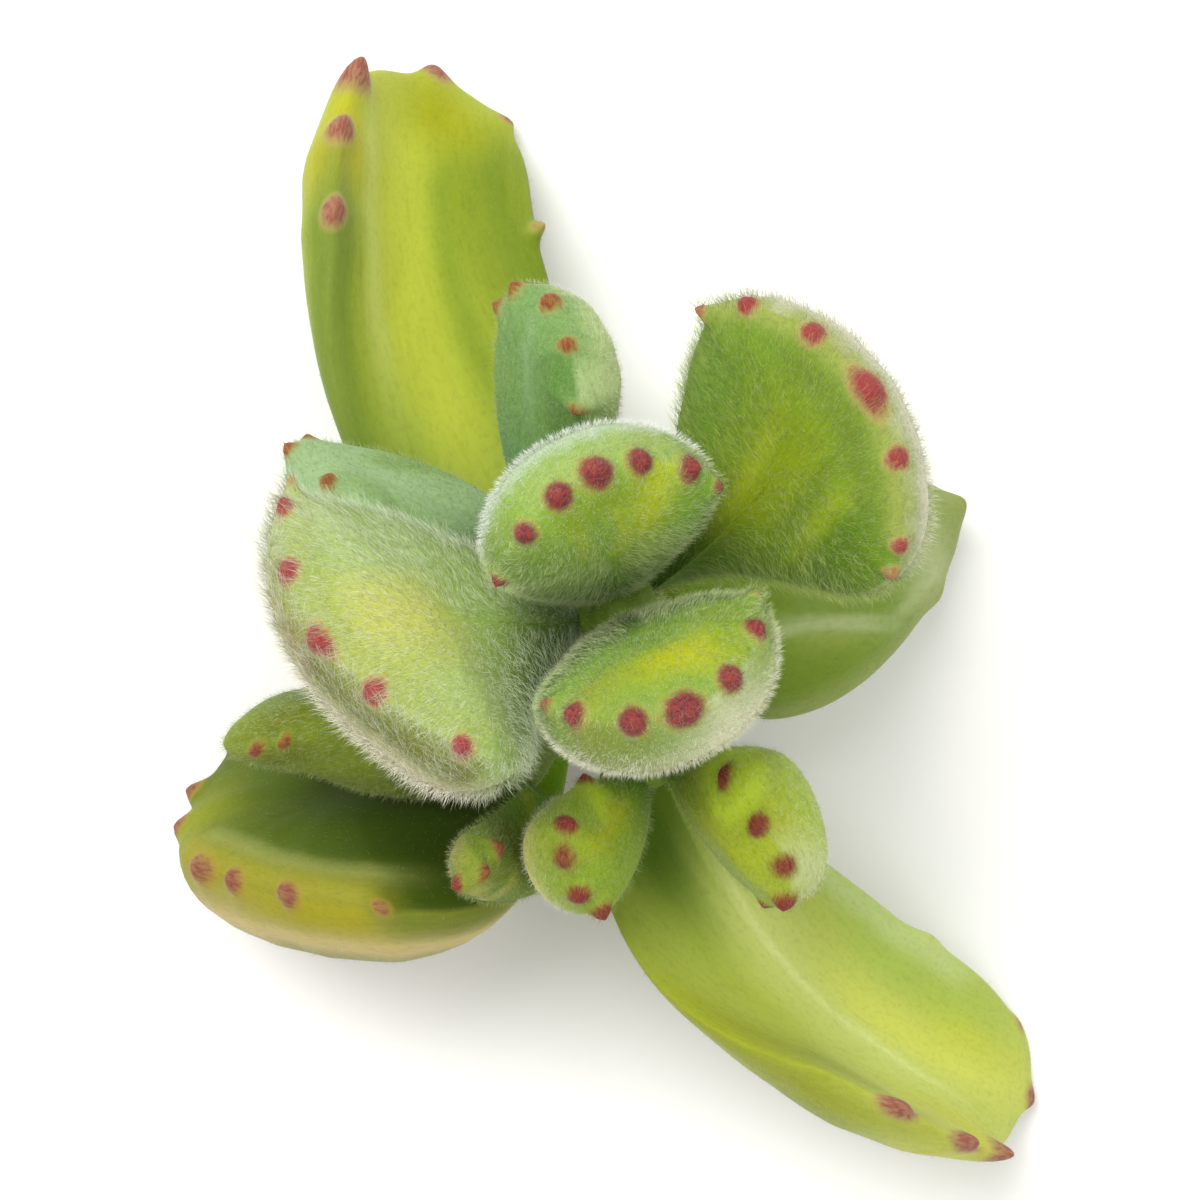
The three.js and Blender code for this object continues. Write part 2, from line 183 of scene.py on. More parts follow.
@dataclass
class Shell:
    """A closed mesh being made: points in millimetres, faces by size, and what its finish reads."""

    points: np.ndarray
    faces: list[np.ndarray]
    colours: dict[str, np.ndarray] = field(default_factory=dict)
    values: dict[str, np.ndarray] = field(default_factory=dict)
    vectors: dict[str, np.ndarray] = field(default_factory=dict)
    corner_map: np.ndarray | None = None

    def piece(self, name: str, slot: str, material: bpy.types.Material) -> bpy.types.Object:
        """Makes the Blender object, in metres, shaded smooth, riding on the plant.

        Args:
            name: the piece's name.
            slot: the record's material slot; not used.
            material: its finish.
        Returns:
            The new object.
        """
        corners = np.concatenate([faces.ravel() for faces in self.faces])
        sizes = np.concatenate([np.full(len(faces), faces.shape[1]) for faces in self.faces])
        starts = np.concatenate([[0], np.cumsum(sizes)[:-1]])
        mesh = bpy.data.meshes.new(name)
        mesh.vertices.add(len(self.points))
        mesh.vertices.foreach_set("co", packed(self.points * MM))
        mesh.loops.add(len(corners))
        mesh.loops.foreach_set("vertex_index", corners.astype(np.int32))
        mesh.polygons.add(len(sizes))
        mesh.polygons.foreach_set("loop_start", starts.astype(np.int32))
        mesh.polygons.foreach_set("use_smooth", np.ones(len(sizes), dtype=bool))
        mesh.update(calc_edges=True)
        solid = ((0, 0), (0, 1))
        opaque = {key: np.pad(rows, solid, constant_values=1) for key, rows in self.colours.items()}
        for kind, part, carried in (
            ("FLOAT_COLOR", "color", opaque),
            ("FLOAT", "value", self.values),
            ("FLOAT_VECTOR", "vector", self.vectors),
        ):
            for key, values in carried.items():
                mesh.attributes.new(key, kind, "POINT").data.foreach_set(part, packed(values))
        if self.corner_map is not None:
            mesh.uv_layers.new(name="OFBake").uv.foreach_set("vector", packed(self.corner_map))
        mesh.materials.append(material)
        made = bpy.data.objects.new(name, mesh)
        bpy.context.collection.objects.link(made)
        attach(made, BODY)
        LOG.info("%s: %d triangles", name, int((sizes - 2).sum()))
        return made


def rolled_faces(rows: int, columns: int) -> list[np.ndarray]:
    """Faces of a closed shell made of a pole, rings of points and a second pole.

    Point 0 is the first pole, then each ring follows in order, and the last point is the second pole.

    Args:
        rows: number of rings.
        columns: points in a ring.
    Returns:
        The quads between rings, and the triangles of both fans.
    """
    step = np.arange(columns)
    after = (step + 1) % columns
    near = 1 + np.arange(rows - 1)[:, None] * columns
    far = near + columns
    quads = np.stack([near + step, far + step, far + after, near + after], axis=-1).reshape(-1, 4)
    first = np.stack([np.zeros(columns, dtype=int), 1 + step, 1 + after], axis=-1)
    outer = 1 + (rows - 1) * columns
    last = np.stack([np.full(columns, outer + columns), outer + after, outer + step], axis=-1)
    return [quads, np.concatenate([first, last])]


# ---- Shader graphs -------------------------------------------------------------------------------


class Signal:
    """One number, colour or vector in a shader; arithmetic on it adds Math nodes."""

    def __init__(self, graph: Graph, socket: bpy.types.NodeSocket) -> None:
        """Wraps a socket of the graph."""
        self.graph = graph
        self.socket = socket

    def _with(self, operation: str, first: Signal | float, second: Signal | float) -> Signal:
        """Adds one Math node."""
        return self.graph.node("ShaderNodeMath", {"operation": operation}, {0: first, 1: second})

    def __add__(self, other: Signal | float) -> Signal:
        """Sum."""
        return self._with("ADD", self, other)

    __radd__ = __add__

    def __sub__(self, other: Signal | float) -> Signal:
        """Difference."""
        return self._with("SUBTRACT", self, other)

    def __rsub__(self, other: float) -> Signal:
        """Difference from a number."""
        return self._with("SUBTRACT", other, self)

    def __mul__(self, other: Signal | float) -> Signal:
        """Product."""
        return self._with("MULTIPLY", self, other)

    __rmul__ = __mul__

    def step(self, low: float, high: float) -> Signal:
        """A soft step.

        Args:
            low: where it is 0.
            high: where it is 1.
        Returns:
            The step, from 0 to 1.
        """
        settings = {"interpolation_type": "SMOOTHSTEP"}
        values = {"Value": self, "From Min": low, "From Max": high, "To Min": 0.0, "To Max": 1.0}
        return self.graph.node("ShaderNodeMapRange", settings, values, output="Result")


class Graph:
    """A material's nodes, made by calls."""

    def __init__(self, name: str) -> None:
        """Starts an empty material.

        Args:
            name: the material's name.
        """
        self.material = bpy.data.materials.new(name)
        self.material.use_nodes = True
        self.tree = self.material.node_tree
        self.tree.nodes.clear()

    def node(
        self,
        kind: str,
        settings: dict[str, object] | None = None,
        values: dict[str | int, object] | None = None,
        output: str | int = 0,
    ) -> Signal:
        """Adds a node.

        Args:
            kind: the node's type.
            settings: its settings, which are set first.
            values: what goes into its sockets, as numbers, tuples or signals.
            output: which output comes back.
        Returns:
            That output, wrapped.
        """
        made = self.tree.nodes.new(kind)
        for key, value in (settings or {}).items():
            setattr(made, key, value)
        for key, value in (values or {}).items():
            socket = made.inputs[key]
            if isinstance(value, Signal):
                self.tree.links.new(value.socket, socket)
            else:
                socket.default_value = value
        return Signal(self, made.outputs[output] if made.outputs else None)

    def attribute(self, name: str, output: str = "Fac") -> Signal:
        """Reads an attribute of the mesh by name."""
        return self.node("ShaderNodeAttribute", {"attribute_name": name}, output=output)

    def noise(self, place: Signal, scale: float, detail: float = 2.0) -> Signal:
        """Cloudy noise from 0 to 1 at a place."""
        values = {"Vector": place, "Scale": scale, "Detail": detail}
        return self.node("ShaderNodeTexNoise", {}, values, output="Fac")

    def stretched(self, place: Signal, scale: tuple[float, float, float]) -> Signal:
        """The same place with each axis scaled."""
        return self.node("ShaderNodeMapping", {}, {"Vector": place, "Scale": scale})

    def mix(self, share: Signal | float, first: object, second: object, blend: str = "MIX") -> Signal:
        """Mixes two colours.

        Args:
            share: how much of the second colour.
            first: a signal or a hex colour.
            second: a signal or a hex colour.
            blend: the way they are blended.
        Returns:
            The mixed colour.
        """
        ends = [(*linear(end), 1.0) if isinstance(end, str) else end for end in (first, second)]
        settings = {"data_type": "RGBA", "blend_type": blend}
        return self.node("ShaderNodeMix", settings, {0: share, 6: ends[0], 7: ends[1]}, output=2)

    def bump(self, height: Signal, strength: float, distance: float) -> Signal:
        """A normal leaned by a height."""
        values = {"Height": height, "Strength": strength, "Distance": distance}
        return self.node("ShaderNodeBump", {}, values)

    def finish(self, values: dict[str | int, object]) -> bpy.types.Material:
        """Ends the graph in a Principled surface.

        Args:
            values: what goes into the Principled node.
        Returns:
            The material.
        """
        surface = self.node("ShaderNodeBsdfPrincipled", {}, values)
        self.node("ShaderNodeOutputMaterial", {}, {"Surface": surface})
        return self.material


@dataclass(frozen=True)
class FleshFinish:
    """Leaf flesh: the colour laid into it, on some leaves with painted shade and painted light in it,
    lengthwise streaks, mottling, fuzz and the red of its teeth.

    streaks, mottling, fuzz and relief are how strong each is, and raggedness is how torn the edges of the
    tooth spots are. The paces are how fine the noise is, per millimetre: across, along and up where there
    are three. depth is the relief's height, in millimetres.
    """

    name: str
    tooth_edge: str
    tooth_heart: str
    tooth_halo: str
    fuzz: float = 0.35
    streaks: float = 0.25
    mottling: float = 0.3
    raggedness: float = 1.0
    relief: float = 0.3
    roughness: float = 0.54
    pale_streak: str = "#dde08a"
    dark_streak: str = "#304810"
    mottle_tint: str = "#8ca05c"
    fuzz_tint: str = "#cdd9ac"
    tooth_bloom: str = "#d0a090"
    streak_pace: tuple[float, float, float] = (2.2, 0.35, 0.8)
    stroke_pace: tuple[float, float, float] = (9.0, 1.4, 3.0)
    mottle_pace: float = 1.6
    grain_pace: float = 9.0
    depth: float = 0.15

    def material(self) -> bpy.types.Material:
        """Builds the material: the tint attribute, darkened and lightened by noise drawn out along the leaf,
        with short pale fuzz and the tooth spots laid over it.

        Returns:
            The material.
        """
        graph = Graph(self.name)
        lamina = graph.attribute("lamina", "Vector")
        tooth = graph.attribute("tooth")
        streak = graph.noise(graph.stretched(lamina, self.streak_pace), 1.0, 3.0)
        strokes = graph.noise(graph.stretched(lamina, self.stroke_pace), 1.0, 2.0)
        mottle = graph.noise(lamina, self.mottle_pace, 4.0)
        grain = graph.noise(lamina, self.grain_pace, 2.0)
        tint = graph.attribute("tint", "Color")
        tint = graph.mix((streak - 0.5).step(0.0, 0.3) * self.streaks, tint, self.pale_streak, "SOFT_LIGHT")
        tint = graph.mix((0.5 - streak).step(0.0, 0.3) * self.streaks, tint, self.dark_streak, "SOFT_LIGHT")
        tint = graph.mix((mottle - 0.45).step(0.0, 0.3) * self.mottling, tint, self.mottle_tint, "MULTIPLY")
        tint = graph.mix(strokes.step(0.5, 0.75) * self.fuzz, tint, self.fuzz_tint)
        torn, frayed = 0.4 * self.raggedness, 0.2 * self.raggedness
        spot = tooth + (mottle - 0.5) * torn + (grain - 0.5) * frayed
        tint = graph.mix(spot.step(0.0, 0.3) * 0.6, tint, self.tooth_halo)
        red = graph.mix((mottle + spot * 0.3).step(0.5, 0.85), self.tooth_edge, self.tooth_heart)
        red = graph.mix(grain.step(0.5, 0.75) * 0.2, red, self.tooth_bloom)
        tint = graph.mix(spot.step(0.08, 0.6), tint, red)
        height = grain * 0.5 + mottle * 0.7 + strokes * 0.6
        return graph.finish({
            "Base Color": tint,
            "Roughness": mottle * 0.16 + self.roughness,
            "Subsurface Weight": 0.18,
            "Subsurface Radius": (1.0, 1.0, 0.35),
            "Subsurface Scale": 0.0012,
            "Sheen Weight": 0.08,
            "Sheen Roughness": 0.4,
            "Specular IOR Level": 0.12,
            "Normal": graph.bump(height, self.relief, self.depth * MM),
        })


@dataclass(frozen=True)
class HairFinish:
    """Fine pale hairs, each shaded from the colour of the flesh at its root to its own tip."""

    name: str = "plant_hair"
    roughness: float = 0.55

    def material(self) -> bpy.types.Material:
        """Builds the material from the shade attribute."""
        graph = Graph(self.name)
        return graph.finish({
            "Base Color": graph.attribute("shade", "Color"),
            "Roughness": self.roughness,
            "Specular IOR Level": 0.1,
            "Sheen Weight": 0.2,
        })


@dataclass(frozen=True)
class StemFinish:
    """Half woody stem: green brown skin with pale ridges and dark cracks, tan where it is cut.

    The paces are how fine the patches and the bark are, per metre, and bark_stretch draws the bark out
    along the stem. depth is the relief's height, in millimetres.
    """

    name: str = "stem_skin"
    patch_tint: str = "#8a8a52"
    ridge_tint: str = "#b7b084"
    crack_tint: str = "#4d4a26"
    patch_pace: float = 350.0
    bark_pace: float = 1400.0
    bark_stretch: tuple[float, float, float] = (1.0, 1.0, 0.25)
    depth: float = 0.2

    def material(self) -> bpy.types.Material:
        """Builds the material: the tint attribute, with patches, ridges and cracks where it is woody.

        Returns:
            The material.
        """
        graph = Graph(self.name)
        place = graph.node("ShaderNodeTexCoord", output="Object")
        patch = graph.noise(place, self.patch_pace, 4.0)
        bark = graph.noise(graph.stretched(place, self.bark_stretch), self.bark_pace, 3.0)
        woody = graph.attribute("woody")
        tint = graph.mix(patch.step(0.35, 0.65) * woody, graph.attribute("tint", "Color"), self.patch_tint)
        tint = graph.mix(bark.step(0.55, 0.8) * 0.5 * woody, tint, self.ridge_tint)
        tint = graph.mix(bark.step(0.5, 0.2) * 0.5 * woody, tint, self.crack_tint)
        return graph.finish({
            "Base Color": tint,
            "Roughness": bark * 0.2 + 0.65,
            "Normal": graph.bump(bark + patch, 0.5, self.depth * MM),
        })


@dataclass(frozen=True)
class FloorFinish:
    """A plain pale floor."""

    name: str = "pale_floor"
    colour: str = "#f6f5f2"

    def material(self) -> bpy.types.Material:
        """Builds the material."""
        return Graph(self.name).finish({"Base Color": (*linear(self.colour), 1.0), "Roughness": 0.9})


# ---- Leaves --------------------------------------------------------------------------------------


@dataclass(frozen=True)
class Band:
    """A soft band or patch of colour that runs lengthwise on a leaf.

    middle is where it lies across the leaf at the start and at the end of its reach, from -1 on the
    right-hand margin seen from the stem to 1 on the left-hand one; spread is its half width in the same
    measure; reach is its start and end along the leaf, from 0 at the base to 1 at the apex.
    """

    colour: str
    middle: tuple[float, float]
    spread: float
    reach: tuple[float, float]
    strength: float = 1.0
    fade: float = 0.12
    face: Face = Face.BOTH

    def mask(self, place: LeafSurface) -> np.ndarray:
        """How strong the band is at each point: a bell across it, times a soft start and end.

        Args:
            place: where the points are on the leaf.
        Returns:
            The strength of each.
        """
        start, end = self.reach
        share = np.clip((place.along - start) / (end - start), 0, 1)
        course = self.middle[0] + (self.middle[1] - self.middle[0]) * share
        bell = np.exp(-((place.across - course) / self.spread) ** 2)
        window = smooth(start - self.fade, start + self.fade, place.along)
        window *= 1 - smooth(end - self.fade, end + self.fade, place.along)
        return self.strength * bell * window * place.shown(self.face)


@dataclass(frozen=True)
class Collar:
    """A soft line of colour that follows the rim.

    ring is how far out it lies, from 0 in the middle of a face to 1 on the rim; spread is its half width in
    the same measure; arc is where it starts and ends, in degrees round the rim from the middle of the apex.
    """

    colour: str
    ring: float
    spread: float
    arc: tuple[float, float] = (-180, 180)
    strength: float = 1.0
    face: Face = Face.BOTH

    OUTER_FADE = 0.3
    INNER_FADE = 0.1

    def mask(self, place: LeafSurface) -> np.ndarray:
        """How strong the line is at each point: a bell across it, times soft ends.

        Args:
            place: where the points are on the leaf.
        Returns:
            The strength of each.
        """
        start, end = np.radians(self.arc)
        bell = np.exp(-((place.ring - self.ring) / self.spread) ** 2)
        window = smooth(start - self.OUTER_FADE, start + self.INNER_FADE, place.angle)
        window *= 1 - smooth(end - self.INNER_FADE, end + self.OUTER_FADE, place.angle)
        return self.strength * bell * window * place.shown(self.face)


@dataclass(frozen=True)
class Colouring:
    """A leaf's colours: at its base, at its end and underneath, and the bands and collars laid over them.

    wrap is how far out on the lower face the upper face's colours reach: they fade into the colour
    underneath as the ring falls below it. turn is where along the leaf the base's colour starts and ends
    turning into the end's.
    """

    base: str
    end: str
    under: str
    marks: tuple[Band | Collar, ...] = ()
    wrap: float = 0.8
    turn: tuple[float, float] = (0.1, 0.55)

    def laid(self, tint: np.ndarray, place: LeafSurface, lower: bool) -> np.ndarray:
        """Lays the marks over the colours in order, either those of the lower face alone or all others.

        Args:
            tint: the colour of each point.
            place: where the points are on the leaf.
            lower: whether the lower face's marks are laid.
        Returns:
            The new colours.
        """
        for mark in self.marks:
            if (mark.face is Face.LOWER) is lower:
                mask = np.clip(mark.mask(place), 0, 1)[:, None]
                tint = tint * (1 - mask) + linear(mark.colour) * mask
        return tint

    def tint(self, surface: LeafSurface, rng: np.random.Generator) -> np.ndarray:
        """Works out the colour of each point of a leaf.

        Args:
            surface: the leaf's surface.
            rng: the seeded source of streaks.
        Returns:
            Linear colours, one row a point.
        """
        across, along = surface.across, surface.along
        wander = WANDER * ripple(across * WANDER_PACE[0], along * WANDER_PACE[1], rng)
        streak = STREAK * ripple(across * STREAK_PACE[0], along * STREAK_PACE[1], rng, STREAK_WAVES)
        shifted = along + WANDER_ALONG * wander
        place = replace(surface, across=across + wander + streak, along=shifted)
        share = smooth(*self.turn, place.along)[:, None]
        tint = self.laid(linear(self.base) * (1 - share) + linear(self.end) * share, place, lower=False)
        ragged = place.ring + WRAP_RAGGEDNESS * streak
        reached = smooth(self.wrap - WRAP_FADE, self.wrap + WRAP_FADE, ragged)
        below = (place.shown(Face.LOWER) * (1 - reached))[:, None]
        shade = BASE_SHADE + (1 - BASE_SHADE) * share
        tint = tint * (1 - below) + linear(self.under) * shade * below
        return self.laid(tint, place, lower=True)


class Tooth(NamedTuple):
    """One blunt tooth.

    angle is its place round the rim in degrees from the middle of the apex, positive on the left-hand margin;
    breadth and lift are its width and height against the usual ones, and spot the width of its red; smear is
    how far the red is drawn out along the rim, or inwards where negative, and red is how red it is.
    """

    angle: float
    breadth: float = 1.0
    lift: float = 1.0
    spot: float = 1.0
    smear: float = 0.0
    red: float = 1.0


def toothed(*rows: tuple[float, ...]) -> tuple[Tooth, ...]:
    """Makes teeth from rows of their numbers."""
    return tuple(Tooth(*row) for row in rows)


@dataclass(frozen=True)
class Pelt:
    """A leaf's hairs: how dense, long and stout they are, how they lean, and the colours that they end in.

    rim_length and under_length are how much longer they are at the rim and on the lower face. root_share and
    tip_share are how much of the pale colour their feet and their ends take on. tip is the colour of their
    ends on the upper face, and edge the one on the lower face from the ring edge_ring inwards, where
    edge_share makes the whole hair paler.
    """

    density: float
    length: float
    radius: float
    lean: float = 0.45
    scatter: float = 0.28
    curl: float = 0.45
    rim_length: float = 0.2
    under_length: float = 0.0
    tip: str = "#dde6b8"
    edge: str = "#f3f6e2"
    tip_share: float = 0.85
    root_share: float = 0.25
    edge_share: float = 0.3
    edge_ring: float = 0.9
    bent: bool = True


@dataclass(frozen=True)
class Whorl:
    """What the leaves of one level have in common.

    height is where on the stem they sit, upper_share the part of their thickness above the rim, and columns
    and rows are how fine their mesh is, round the rim and from the rim to the middle of a face.
    """

    height: float
    upper_share: float
    tooth_height: float
    tooth_radius: float
    slot: str
    columns: int
    rows: int


@dataclass
class LeafSurface:
    """A leaf as points: where they are, which way they face, and where they are on the leaf."""

    points: np.ndarray
    normals: np.ndarray
    towards_end: np.ndarray
    across: np.ndarray
    along: np.ndarray
    side: np.ndarray
    ring: np.ndarray
    angle: np.ndarray
    tooth: np.ndarray
    lamina: np.ndarray
    rows: int
    columns: int

    def shown(self, face: Face) -> np.ndarray:
        """One where a point lies on the face, else zero."""
        return np.ones(len(self.side)) if face is Face.BOTH else (self.side == face.value).astype(float)


@dataclass(frozen=True)
class Shoot:
    """A side shoot: where it leaves the stem, how far out and how high its tip lies, and which way."""

    start: float
    reach: float
    azimuth: float
    height: float
    root_radius: float = 1.9
    tip_radius: float = 1.6
    lift: float = 2.0

    def tip(self) -> np.ndarray:
        """The middle of the shoot's tip."""
        angle = np.radians(self.azimuth)
        return STEM_FOOT + np.array([self.reach * np.cos(angle), self.reach * np.sin(angle), self.height])


CROWN = Whorl(29.0, 0.45, 1.4, 1.0, "crown_leaf", 230, 15)
SECOND = Whorl(24.5, 0.45, 1.4, 1.0, "second_leaf", 250, 17)
THIRD = Whorl(17.0, 0.45, 1.6, 1.0, "third_leaf", 250, 18)
FOURTH = Whorl(10.0, 0.4, 1.4, 1.0, "fourth_leaf", 230, 16)
YOUNG = Whorl(0.0, 0.38, 1.0, 0.9, "young_leaf", 150, 11)

SHOOTS = {
    "back": Shoot(20.0, 11.0, 136, 24.0),
    "front": Shoot(20.0, 12.3, 282, 25.0),
    "left": Shoot(14.0, 14.4, 239, 20.0),
}


@dataclass(frozen=True)
class Leaf:
    """One leaf.

    azimuth is the way it leaves the stem and turn how far it swings round by its tip; rise is its slope at
    base and tip; roll tips its face over, fold closes it like a trough, and skew slides one margin ahead of
    the other. widest is where along it the outline is widest. apex_power and base_power set how blunt the
    outline's ends are, the base's for the right-hand and the left-hand margin seen from the stem. shoot
    names the side shoot that carries it, if one does. core is where along it the leaf is thickest and
    upper_share the part of its thickness above the rim, where they aren't the usual ones; flute is how high
    the ridges are that run in from its teeth.
    """

    name: str
    whorl: Whorl
    azimuth: float
    turn: float
    rise: tuple[float, float]
    roll: float
    length: float
    width: float
    thickness: float
    fold: float
    widest: float
    apex_power: float
    base_power: tuple[float, float]
    skew: float
    teeth: tuple[Tooth, ...]
    colouring: Colouring
    pelt: Pelt
    finish: FleshFinish
    shoot: str | None = None
    core: float | None = None
    upper_share: float | None = None
    flute: float = 0.3

    def rim_point(self, angle: np.ndarray) -> np.ndarray:
        """The flat outline: a superellipse of one power before its widest place and another behind it.

        Args:
            angle: angles round the rim, 0 at the middle of the apex, in radians.
        Returns:
            Across and along, in millimetres.
        """
        cosine = np.cos(angle)
        sine = np.sin(angle)
        ahead = cosine >= 0
        share = np.where(ahead, self.widest + (1 - self.widest) * cosine, self.widest * (1 + cosine))
        right, left = self.base_power
        power = np.where(ahead, self.apex_power, np.where(sine < 0, right, left))
        side = np.sign(sine) * np.abs(sine) ** power
        return np.stack([side * self.width / 2, share * self.length + self.skew * side * share**2], axis=-1)

    def tooth_marks(self) -> tuple[np.ndarray, np.ndarray, np.ndarray, np.ndarray]:
        """Where the teeth stand.

        Returns:
            Their angles, roots on the outline, outward directions and half widths in radians.
        """
        step = 1e-3
        angles = np.radians(np.array([tooth.angle for tooth in self.teeth]))
        breadths = np.array([tooth.breadth for tooth in self.teeth])
        roots = self.rim_point(angles)
        tangent = (self.rim_point(angles + step) - self.rim_point(angles - step)) / (2 * step)
        outward = unit(np.stack([tangent[:, 1], -tangent[:, 0]], axis=-1))
        middle = np.array([0, self.widest * self.length])
        outward *= np.where(((roots - middle) * outward).sum(axis=-1) < 0, -1, 1)[:, None]
        return angles, roots, outward, breadths * self.whorl.tooth_radius / np.linalg.norm(tangent, axis=-1)

    def redness(self, pushed: np.ndarray, raised: np.ndarray) -> np.ndarray:
        """How red each point is: one at a tooth's tip, falling evenly to zero at the edge of its spot.

        Args:
            pushed: flat places.
            raised: heights over the flat leaf.
        Returns:
            The redness, from 0 to 1.
        """
        _, roots, outward, _ = self.tooth_marks()
        red = np.zeros(len(pushed))
        for tooth, root, way in zip(self.teeth, roots, outward):
            offset = pushed - root - way * self.whorl.tooth_height * tooth.lift * SPOT_HEIGHT
            out = offset @ way
            round_ = offset @ np.array([-way[1], way[0]]) / (1 + max(tooth.smear, 0))
            out = np.where(out < 0, out / (1 + max(-tooth.smear, 0)), out)
            distance = np.sqrt(out**2 + round_**2 + (TOOTH_DEPTH * raised) ** 2)
            red = np.maximum(red, tooth.red * np.clip(1 - distance / (SPOT_RADIUS * tooth.spot), 0, 1))
        return red

    def rim_angles(self, columns: int) -> np.ndarray:
        """Angles round the rim, even along its length but closer together on the teeth.

        Args:
            columns: how many.
        Returns:
            The angles, in radians.
        """
        fine = np.linspace(-np.pi, np.pi, FINE_ANGLES)
        pace = np.linalg.norm(np.gradient(self.rim_point(fine), fine, axis=0), axis=-1)
        angles, _, _, spread = self.tooth_marks()
        nearness = np.exp(-(((fine[:, None] - angles) / (CROWDING * spread)) ** 2)).sum(axis=1)
        weight = pace * (1 + CROWDING * nearness) + LEAST_PACE * pace.mean()
        travelled = np.concatenate([[0], np.cumsum((weight[1:] + weight[:-1]) / 2)])
        return np.interp(np.linspace(0, travelled[-1], columns, endpoint=False), travelled, fine)

    def base_point(self) -> np.ndarray:
        """Where the leaf's midline starts, inside the stem or the shoot that carries it.

        Returns:
            The point, in millimetres.
        """
        angle = np.radians(self.azimuth)
        foot, seat = STEM_FOOT + np.array([0, 0, self.whorl.height]), LEAF_SEAT
        if self.shoot:
            foot, seat = SHOOTS[self.shoot].tip(), YOUNG_SEAT
        return foot + seat * np.array([np.cos(angle), np.sin(angle), 0])

    def place(self, flat: np.ndarray, raised: np.ndarray) -> tuple[np.ndarray, np.ndarray]:
        """Folds flat points across the leaf's width and carries them along its curved midline.

        The fold is a circle arc across the leaf. The midline is walked in even steps whose slope grows evenly
        and whose heading grows with the power TURN_POWER; the section rolls evenly about it.

        Args:
            flat: across and along, in millimetres.
            raised: height over the flat leaf.
        Returns:
            The points, and the midline's direction at each.
        """
        grown = np.maximum(SPINE_SHARES, 0)
        slopes = np.radians(self.rise[0] + (self.rise[1] - self.rise[0]) * grown)
        headings = np.radians(self.azimuth) + np.radians(self.turn) * grown**TURN_POWER
        level_step = np.cos(slopes)
        steps = [level_step * np.cos(headings), level_step * np.sin(headings), np.sin(slopes)]
        ways = np.stack(steps, axis=-1)
        stride = (SPINE_SHARES[1] - SPINE_SHARES[0]) * self.length
        walked = np.concatenate([np.zeros((1, 3)), np.cumsum(ways, axis=0)[:-1] * stride])
        walked += self.base_point() - walked[np.argmin(np.abs(SPINE_SHARES))]
        share = flat[..., 1] / self.length
        slope = np.interp(share, SPINE_SHARES, slopes)
        heading = np.interp(share, SPINE_SHARES, headings)
        middle = np.stack([np.interp(share, SPINE_SHARES, walked[:, axis]) for axis in range(3)], axis=-1)
        bend = np.clip(FOLD_GROWTH * share, FOLD_AT_BASE, 1) * np.radians(self.fold) / (self.width / 2)
        across = np.sin(bend * flat[..., 0]) * (1 / bend - raised)
        above = (1 - np.cos(bend * flat[..., 0])) / bend + raised * np.cos(bend * flat[..., 0])
        flatness = np.cos(slope)
        along = np.stack([flatness * np.cos(heading), flatness * np.sin(heading), np.sin(slope)], axis=-1)
        level = np.stack([-np.sin(heading), np.cos(heading), np.zeros_like(heading)], axis=-1)
        normal = np.cross(along, level)
        roll = (np.radians(self.roll) * np.clip(share, 0, 1))[..., None]
        sideways = level * np.cos(roll) + normal * np.sin(roll)
        upwards = normal * np.cos(roll) - level * np.sin(roll)
        return middle + sideways * across[..., None] + upwards * above[..., None], along

    def surface(self, rng: np.random.Generator) -> LeafSurface:
        """The whole leaf: rings from the middle of the upper face out to the rim and back under it.

        Each ring is the outline drawn in towards the core, raised, pushed out by the teeth, and then folded
        and carried along the midline.

        Args:
            rng: the seeded source of small unevenness.
        Returns:
            The surface, poles first and last.
        """
        rows, columns = self.whorl.rows, self.whorl.columns
        quarter = np.linspace(0, np.pi / 2, rows + 1)[1:]
        rings = np.concatenate([np.sin(quarter), np.sin(quarter[-2::-1])])
        sides = np.concatenate([np.ones(rows), -np.ones(rows - 1)])
        ring = np.concatenate([[0], np.repeat(rings, columns), [0]])
        side = np.concatenate([[1], np.repeat(sides, columns), [-1]])
        angle = np.concatenate([[0], np.tile(self.rim_angles(columns), len(rings)), [0]])
        core = np.array([0, (self.core or CORE_SHARE * self.widest) * self.length])
        flat = core + ring[:, None] * (self.rim_point(angle) - core)
        raised = self.raised(flat, ring, side, angle, rng)
        pushed = self.pushed(flat, raised)
        points, along = self.place(pushed, raised)
        points[:, 2] = np.maximum(points[:, 2], 0)
        normals = self.normals(points, len(rings), columns)
        outwards = self.ring_steps(points, len(rings), columns) * side[:, None]
        towards = along + RIM_LEAN * unit(outwards)
        towards = unit(towards - normals * (towards * normals).sum(axis=1, keepdims=True))
        return LeafSurface(
            points=points,
            normals=normals,
            towards_end=towards,
            across=pushed[:, 0] / (self.width / 2),
            along=pushed[:, 1] / self.length,
            side=side,
            ring=ring,
            angle=angle,
            tooth=self.redness(pushed, raised),
            lamina=np.stack([pushed[:, 0], pushed[:, 1], LAMINA_DEPTH * raised], axis=1),
            rows=len(rings),
            columns=columns,
        )

